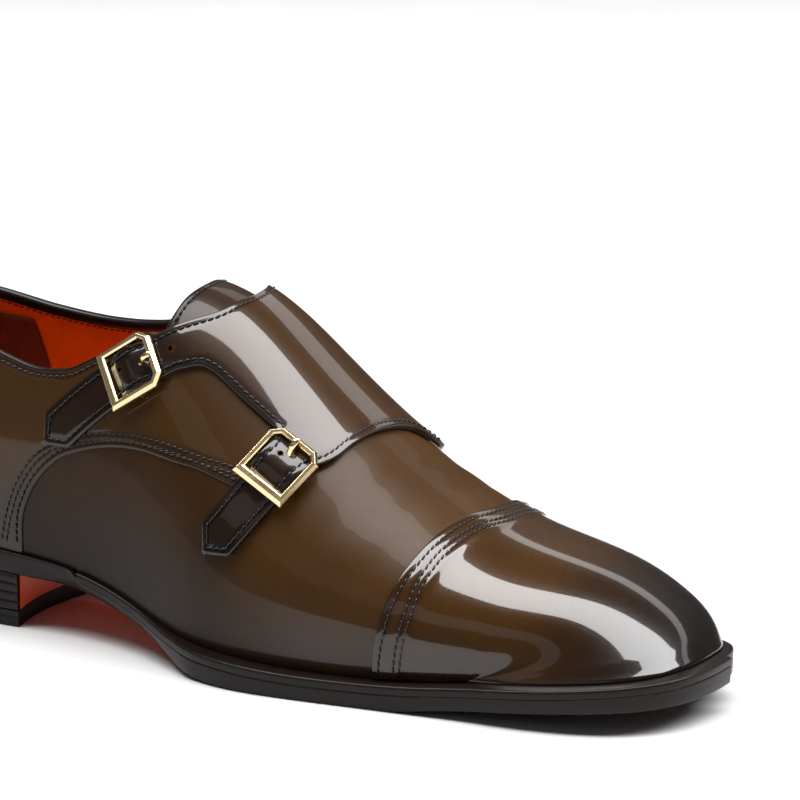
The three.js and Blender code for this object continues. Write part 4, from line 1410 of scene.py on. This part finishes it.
class SHOE_OT_bottom(bpy.types.Operator):
    """Make the sock, welt, outsole and its painted underside"""

    bl_idname = "shoe.bottom"
    bl_label = "Welt and sole"

    def execute(self, context):
        self.sock()
        self.welt()
        self.outsole()
        return {"FINISHED"}

    def sock(self):
        loop = outline(lambda x, side: np.full(np.shape(x), -INSOLE["inset"]))
        count = len(loop)
        k = np.arange(1, count // 2)
        outer, inner = loop[k], loop[count - k]
        share = np.linspace(0, 1, 25)
        flat = mix(outer[:, None], inner[:, None], share[None, :, None])
        base = crease_height(flat[..., 0])
        dish = SOCK["dish"] * (1 - (2 * share - 1) ** 2)
        top = np.dstack([flat, base + INSOLE["thickness"] + SOCK["above"] - dish])
        under = np.dstack([flat, base])
        points, faces = sweep(np.concatenate([top, under[:, ::-1]], 1), False)
        sock = lining_leather("sock_leather")
        new_piece("sock", points, face_out(points, faces), sock, ("insole",),
                  {"shade": 0}, CORNER)

    def welt(self):
        section = (  # past the sole's margin (or out of the crease), then below the seat
            (None, 0), (-1.2, 0), (-0.5, -0.04), (-0.16, -0.22), (0, -0.6), (0.02, -1.3), (0, -2.0),
            (-0.02, -2.5), (-0.12, -WELT["thickness"]), (None, -WELT["thickness"]),
        )
        rings = []
        for past, drop in section:
            def offset(x, side):
                if past is None:
                    return np.full(np.shape(x), -float(WELT["inside"]))
                return sole_margin(x, side) + past

            loop = outline(offset)
            rings.append(np.column_stack([loop, seat_height(loop[:, 0]) + drop]))
        rings = np.stack(rings, 1)
        points, faces = sweep(rings[SOLE_LOOP[:, 0] > WELT["start"]], False)
        new_piece("welt_strip", points, face_out(points, faces), sole_edge(),
                  ("welt",), {"shade": 0.3}, CORNER)

    def outsole(self):
        def top(x):
            under_welt = smooth(WELT["start"] - 2, WELT["start"] + 3, x)
            return seat_height(x) - 0.05 - (WELT["thickness"] + 0.02) * under_welt

        def tuck(x):  # 1 under the arch, 0 at the heel and the ball
            return smooth(72, 92, x) * (1 - smooth(128, 152, x))

        rings = []
        for share, inset in (  # from the top of the sole's edge down, and in from its margin
            (0, 3.0), (0, 0.14), (0.02, 0.02), (0.12, 0), (0.5, 0), (0.88, 0.04), (0.96, 0.2), (1, 0.6),
            (1, 3.0),
        ):
            rings.append(loop_at(
                lambda x: -inset - tuck(x) * WAIST_TUCK * share ** 1.6,
                lambda x: mix(top(x), tread_height(x) + BOTTOM_SKIN, share),
            ))
        points, faces = ringed(rings)
        new_piece("sole_leather", points, faces, sole_edge(), ("outsole",),
                  {"shade": 0.3}, CORNER)
        skin = [
            loop_at(lambda x: -inset - tuck(x) * WAIST_TUCK, lambda x: tread_height(x) + height)
            for inset, height in ((4.2, 0.3), (3.6, 0.3), (3.6, 0.12), (3.8, 0.0), (7, 0.0))
        ]
        points, faces = ringed(skin)
        new_piece("sole_face", points, faces, painted_sole(),
                  attributes={"shade": smooth(146, 170, points[:, 0])}, smooth_angle=CORNER)


def heel_loop(inset, height):
    """The sole's edge behind the breast, then the hollow breast, as a loop of points."""
    halves = []
    for side in SIDES:
        loop = outline(lambda x, s: sole_margin(x, s) - inset)
        middle = len(loop) // 2
        half = loop[:middle + 1] if side < 0 else np.vstack([loop[:1], loop[middle:][::-1]])
        half = half[half[:, 0] < HEEL["breast"] - 0.6]
        corner = half[-1, 1]
        share = np.linspace(1, 0, 14)
        breast = np.stack([HEEL["breast"] - HEEL["hollow"] * (1 - share ** 2), corner * share], -1)
        halves.append(np.vstack([half, breast]))
    loop = np.vstack([halves[0], halves[1][1:-1][::-1]])
    return np.column_stack([loop, height(loop[:, 0])])


def stacked(rings):
    """A closed body from loops with a hollow in them, capped by one face at each end."""
    count = len(rings[0])
    faces = []
    for level in range(len(rings) - 1):
        here = level * count + np.arange(count)
        above = here + count
        faces += np.stack([here, np.roll(here, -1), np.roll(above, -1), above], -1).tolist()
    end = count * (len(rings) - 1)
    faces += [list(range(count))[::-1], list(range(end, end + count))]
    return np.vstack(rings), faces


def join_bodies(bodies):
    """Several bodies' points and faces as one."""
    points, faces, start = [], [], 0
    for body_points, body_faces in bodies:
        points.append(body_points)
        faces += [[corner + start for corner in face] for face in body_faces]
        start += len(body_points)
    return np.vstack(points), faces


BREAST = {"inset": 0.6, "side_gap": 1.4, "proud": 0.45, "thickness": 0.5, "foot_gap": 0.1}
LIFTS = 4
LIFT_BED = 0.05  # how far the top lift stops below the sole


class SHOE_OT_heel(bpy.types.Operator):
    """Make the heel's leather lifts, top piece and painted breast"""

    bl_idname = "shoe.heel"
    bl_label = "Heel"

    def execute(self, context):
        low = HEEL["top_piece"] + GAP
        lifts = []
        for k in range(LIFTS):
            shares = (k / LIFTS, (k + 1) / LIFTS)

            def height(x, share, nudge):
                return mix(low, tread_height(x) - LIFT_BED, share) + nudge

            rings = []
            for share, nudge, pull in (
                (shares[0], 0.02, 0.5), (shares[0], 0.02, 0.12), (shares[0], 0.16, 0),
                (shares[1], -0.16, 0), (shares[1], -0.02, 0.12), (shares[1], -0.02, 0.5),
            ):
                inset = mix(HEEL["taper"] - 0.4, 0, share) + pull
                rings.append(heel_loop(inset, lambda x: height(x, share, nudge)))
            lifts.append(stacked(rings))
        points, faces = join_bodies(lifts)
        new_piece("heel_lifts", points, face_out(points, faces), sole_edge(),
                  ("heel_stack",), {"shade": 0.4}, CORNER)
        self.top_piece()
        self.breast()
        return {"FINISHED"}

    def top_piece(self):
        taper = HEEL["taper"]
        rings = [
            heel_loop(taper + inset, lambda x: np.full(np.shape(x), height))
            for inset, height in (
                (0.6, 0), (0.25, 0.05), (0, 0.4), (-0.15, 3.1), (0.0, 3.25), (-0.16, 3.4),
                (-0.3, 5.2), (0.0, 5.4), (0.5, 5.4),
            )
        ]
        points, faces = stacked(rings)
        rubber = plain_leather(
            "top_piece_rubber", (0.016, 0.013, 0.012), (0.006, 0.005, 0.005), 0.6, 0.0006, 0.00008
        )
        new_piece("top_piece", points, face_out(points, faces), rubber,
                  ("heel_top_piece",), {"shade": 0}, CORNER)

    def breast(self):
        share = np.linspace(-0.96, 0.96, 41)
        half = abs(heel_loop(BREAST["inset"], tread_height)[:, 1]).max()
        x = HEEL["breast"] - HEEL["hollow"] * (1 - share ** 2)
        outer = SOLE_LOOP[:len(SOLE_LOOP) // 2]
        width = np.interp(HEEL["breast"], outer[:, 0], -outer[:, 1])
        y = share * min(half, width - BREAST["side_gap"])
        front = np.stack([x + BREAST["proud"], y, np.full(x.shape, HEEL["top_piece"] + GAP)], -1)
        rows = []
        for level in np.linspace(0, 1, 9):
            row = front.copy()
            row[:, 2] = mix(front[:, 2] + BREAST["foot_gap"], tread_height(x) - GAP, level)
            rows.append(row)
        rows = np.stack(rows)
        behind = rows - (BREAST["thickness"], 0, 0)
        points, faces = sweep(np.concatenate([rows, behind[:, ::-1]], 1), False)
        new_piece("breast_face", points, face_out(points, faces), painted_sole(),
                  attributes={"shade": 0}, smooth_angle=CORNER)


# ---------- buckles ----------
# A frame's size along and across the strap, how far its corners are clipped, its bars' widths,
# the heights between which it stands, and the pivot's radius and height.
BUCKLE = {
    "along": 20, "across": 19.4, "clip": 3.2, "bar": 2.3, "tip_bar": 3.3, "inner_clip": 1.5,
    "low": 2.8, "high": 5.0, "pivot": 0.9, "pivot_height": 1.3,
}
FRAME_SECTION = (  # share across the bar from outside in, share of its height
    (0, 0), (0, 0.42), (0.34, 1), (0.8, 1), (1, 0.72), (1, 0.0),
)
PRONG_PATH = (  # from behind the pivot, through the strap and up over the frame: (x, z)
    (1.9, 1.1), (1.3, 2.3), (0, 2.75), (-2, 2.8), (-4, 3.2), (-5.3, 4.3), (-6.6, 5.6), (-8.2, 6.05),
    (-9.7, 5.8),
)
PRONG = {"width": 2.0, "thickness": 1.2, "tip": 1.1}
FRAME_CORNER = 25
PRONG_CORNER = 60
SOFTENING = 0.14  # the width of the frames' softened edges


def buckle_place(strap):
    """A function from a buckle's own place to the shoe's: x down the strap, y across, z out."""
    bend = strap_frames(strap, np.zeros(1))[-1]
    origin, normal, heading, across, _ = (
        value[0] if np.ndim(value) else value for value in strap_frames(strap, np.array([bend]))
    )
    axes = np.stack([heading, across, normal])
    return lambda points: origin + np.asarray(points, float) @ axes


def clipped_frame(a, b, clip, root, tip, side):
    """Corners of a rectangle inset by root, tip and side, clipped at its root end."""
    return np.array([
        (-a + root + clip, -b + side), (a - tip, -b + side), (a - tip, b - side),
        (-a + root + clip, b - side), (-a + root, b - side - clip), (-a + root, -b + side + clip),
    ])


def frame_body():
    a, b = BUCKLE["along"] / 2, BUCKLE["across"] / 2
    outer = clipped_frame(a, b, BUCKLE["clip"], 0, 0, 0)
    inner = clipped_frame(a, b, BUCKLE["inner_clip"], BUCKLE["bar"], BUCKLE["tip_bar"], BUCKLE["bar"])
    rings = []
    for share, height in FRAME_SECTION:
        flat = mix(outer, inner, share)
        z = np.full((len(flat), 1), mix(BUCKLE["low"], BUCKLE["high"], height))
        rings.append(np.hstack([flat, z]))
    return sweep(np.stack(rings, 1), True)


def rod(start, end, radius, sides=16):
    """A straight round bar with chamfered ends."""
    start, end = np.array(start, float), np.array(end, float)
    heading = unit(end - start)
    aside = unit(np.cross(heading, (0.3, 0.5, 0.8)))
    angle = np.linspace(0, 2 * math.pi, sides + 1)[:-1, None]
    circle = aside * np.cos(angle) + np.cross(heading, aside) * np.sin(angle)
    chamfer = radius * 0.3
    rings = [
        start + circle * (radius - chamfer), start + heading * chamfer + circle * radius,
        end - heading * chamfer + circle * radius, end + circle * (radius - chamfer),
    ]
    return sweep(np.stack(rings), False)


class SHOE_OT_buckles(bpy.types.Operator):
    """Make the two brass buckles with their pivots and prongs"""

    bl_idname = "shoe.buckles"
    bl_label = "Buckles"

    def execute(self, context):
        brass = polished_brass("polished_brass", colors().brass)
        for name, strap in STRAPS.items():
            place = buckle_place(strap)
            half = (BUCKLE["across"] - BUCKLE["bar"]) / 2
            level = BUCKLE["pivot_height"]
            bodies = [frame_body(), rod((0, -half, level), (0, half, level), BUCKLE["pivot"])]
            for side in SIDES:
                foot, head = (0, side * half, level), (0, side * half, BUCKLE["low"] + 0.4)
                bodies.append(rod(foot, head, BUCKLE["pivot"]))
            bodies = [(points, face_out(points, faces)) for points, faces in bodies]
            points, faces = join_bodies(bodies)
            frame_piece = new_piece(
                f"buckle_{name}", place(points), faces, brass,
                (f"buckle_frame_{name}",), smooth_angle=FRAME_CORNER,
            )
            self.soften(frame_piece)
            self.prong(name, place, brass)
        return {"FINISHED"}

    def soften(self, piece):
        bevel = piece.modifiers.new("Softened edges", "BEVEL")
        bevel.width = SOFTENING * MM
        bevel.segments = 3
        bevel.limit_method = "ANGLE"
        bevel.angle_limit = math.radians(FRAME_CORNER)
        bevel.harden_normals = True

    def prong(self, name, place, brass):
        path = np.array(PRONG_PATH, float)
        lengths = arc_lengths(path)
        where = np.linspace(0, lengths[-1], 44)
        x = read_table(np.stack([lengths, path[:, 0]], -1), where)
        z = read_table(np.stack([lengths, path[:, 1]], -1), where)
        centre = np.stack([x, np.zeros_like(x), z], -1)
        heading = unit(np.gradient(centre, axis=0))
        up = np.stack([-heading[:, 2], np.zeros_like(x), heading[:, 0]], -1)
        angle = np.linspace(0, 2 * math.pi, 21)[:-1]
        left = lengths[-1] - where
        girth = np.sqrt(np.clip(1 - (1 - np.clip(left / PRONG["tip"], 0, 1)) ** 2, 0.02, 1))
        lean = np.array((0, 1, 0)) * (PRONG["width"] / 2) * np.cos(angle)[None, :, None]
        rise = up[:, None] * (PRONG["thickness"] / 2) * np.sin(angle)[None, :, None]
        rings = centre[:, None] + (lean + rise) * girth[:, None, None]
        points, faces = sweep(rings, False)
        new_piece(f"prong_{name}", place(points), face_out(points, faces), brass,
                  (f"buckle_prong_{name}",), smooth_angle=PRONG_CORNER)


# ---------- stage ----------
CAMERA = {
    "azimuth": 29.018, "elevation": 11.286, "roll": -0.695, "distance": 842.86,
    "aim": (193.9, 0, 81.3), "lens": 125.64,
}
# Soft boxes: where each stands and which way its length runs, in degrees, then metres.
SOFTBOX_COLUMNS = ("name", "azimuth", "elevation", "along", "distance", "length", "width", "radiance")
SOFTBOXES = (
    ("overhead", 110, 80, 120, 7, 14, 4.2, 10),
    ("behind", 175, 34, 85, 5, 8, 0.5, 1.6),
    ("front", -5, 29, 85, 5, 6.5, 1.3, 0.35),
)
FLOOR = {"half": 6.0, "back": 9.0}  # metres
FLOOR_GREYS = (0.58, 0.62)
DUSK = 0.08  # the light from everywhere else


def direction(azimuth, elevation):
    """A unit vector towards an azimuth (0 is -Y, 90 is +X) and elevation, in degrees."""
    a, e = math.radians(azimuth), math.radians(elevation)
    return Vector((math.sin(a) * math.cos(e), -math.cos(a) * math.cos(e), math.sin(e)))


class SHOE_OT_stage(bpy.types.Operator):
    """Make the floor, the studio lights and the camera"""

    bl_idname = "shoe.stage"
    bl_label = "Floor, lights and camera"

    def execute(self, context):
        scene = context.scene
        self.floor()
        self.world(scene)
        for row in SOFTBOXES:
            self.softbox(dict(zip(SOFTBOX_COLUMNS, row)))
        self.camera(scene)
        return {"FINISHED"}

    def floor(self):
        half, back = FLOOR["half"], FLOOR["back"]
        corners = [(-half, -half, 0), (half, -half, 0), (half, back, 0), (-half, back, 0)]
        mesh = bpy.data.meshes.new("floor")
        mesh.from_pydata(corners, [], [(0, 1, 2, 3)])
        floor = bpy.data.objects.new("floor", mesh)
        bpy.context.scene.collection.objects.link(floor)
        paint = Paint("pale_floor")
        cloud = paint.noise(0.3, 2)
        stops = [(place, (grey, grey, grey, 1)) for place, grey in enumerate(FLOOR_GREYS)]
        paint.feed("Base Color", paint.ramp(cloud, stops))
        paint.feed("Roughness", cloud * 0.1 + 0.6)
        mesh.materials.append(paint.material)

    def world(self, scene):
        world = bpy.data.worlds.new("studio")
        world.use_nodes = True
        background = world.node_tree.nodes["Background"]
        background.inputs["Color"].default_value = (1, 1, 1, 1)
        background.inputs["Strength"].default_value = DUSK
        scene.world = world
        scene.view_settings.view_transform = "Standard"

    def softbox(self, box):
        data = bpy.data.lights.new(box["name"], "AREA")
        data.shape = "RECTANGLE"
        data.size, data.size_y = box["length"], box["width"]
        data.energy = box["radiance"] * math.pi * data.size * data.size_y
        lamp = bpy.data.objects.new(box["name"], data)
        bpy.context.scene.collection.objects.link(lamp)
        middle = direction(box["azimuth"], box["elevation"])
        long_way = direction(box["along"], 0)
        long_way = (long_way - middle * long_way.dot(middle)).normalized()
        turn = Matrix((long_way, middle.cross(long_way), middle)).transposed().to_4x4()
        lamp.matrix_world = Matrix.Translation(middle * box["distance"]) @ turn

    def camera(self, scene):
        data = bpy.data.cameras.new("camera")
        data.lens = CAMERA["lens"]
        data.sensor_width = 36
        data.clip_start, data.clip_end = 0.05, 30
        camera = bpy.data.objects.new("camera", data)
        scene.collection.objects.link(camera)
        back = direction(CAMERA["azimuth"], CAMERA["elevation"])
        around = math.radians(CAMERA["azimuth"])
        level = Vector((math.cos(around), math.sin(around), 0))
        above = back.cross(level)
        roll = math.radians(CAMERA["roll"])
        right = level * math.cos(roll) - above * math.sin(roll)
        up = level * math.sin(roll) + above * math.cos(roll)
        turn = Matrix((right, up, back)).transposed().to_4x4()
        aim = Vector(to_frame(np.array(CAMERA["aim"], float)))
        camera.matrix_world = Matrix.Translation(aim + back * CAMERA["distance"] * MM) @ turn
        scene.camera = camera


# ---------- panel and registration ----------
OPERATORS = (
    SHOE_OT_vamp, SHOE_OT_quarters, SHOE_OT_toe_cap, SHOE_OT_straps, SHOE_OT_tongue,
    SHOE_OT_collar, SHOE_OT_bottom, SHOE_OT_heel, SHOE_OT_buckles, SHOE_OT_stage,
)


class SHOE_PT_panel(bpy.types.Panel):
    """Sizes, colours and pieces of the monk strap shoe"""

    bl_idname = "SHOE_PT_panel"
    bl_label = "Double Monk Strap Shoe"
    bl_space_type = "VIEW_3D"
    bl_region_type = "UI"
    bl_category = "Shoe"

    def draw(self, context):
        for group in (context.scene.shoe_sizes, context.scene.shoe_colors):
            box = self.layout.box()
            for name in type(group).__annotations__:
                box.prop(group, name)
        for operator in OPERATORS:
            self.layout.operator(operator.bl_idname)


CLASSES = (ShoeSizes, ShoeColors, *OPERATORS, SHOE_PT_panel)


def register():
    for cls in CLASSES:
        bpy.utils.register_class(cls)
    bpy.types.Scene.shoe_sizes = bpy.props.PointerProperty(type=ShoeSizes)
    bpy.types.Scene.shoe_colors = bpy.props.PointerProperty(type=ShoeColors)


def unregister():
    del bpy.types.Scene.shoe_colors
    del bpy.types.Scene.shoe_sizes
    for cls in reversed(CLASSES):
        bpy.utils.unregister_class(cls)


def main():
    register()
    for operator in OPERATORS:
        getattr(bpy.ops.shoe, operator.bl_idname.split(".")[1])()
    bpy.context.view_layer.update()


if __name__ == "__main__":
    main()
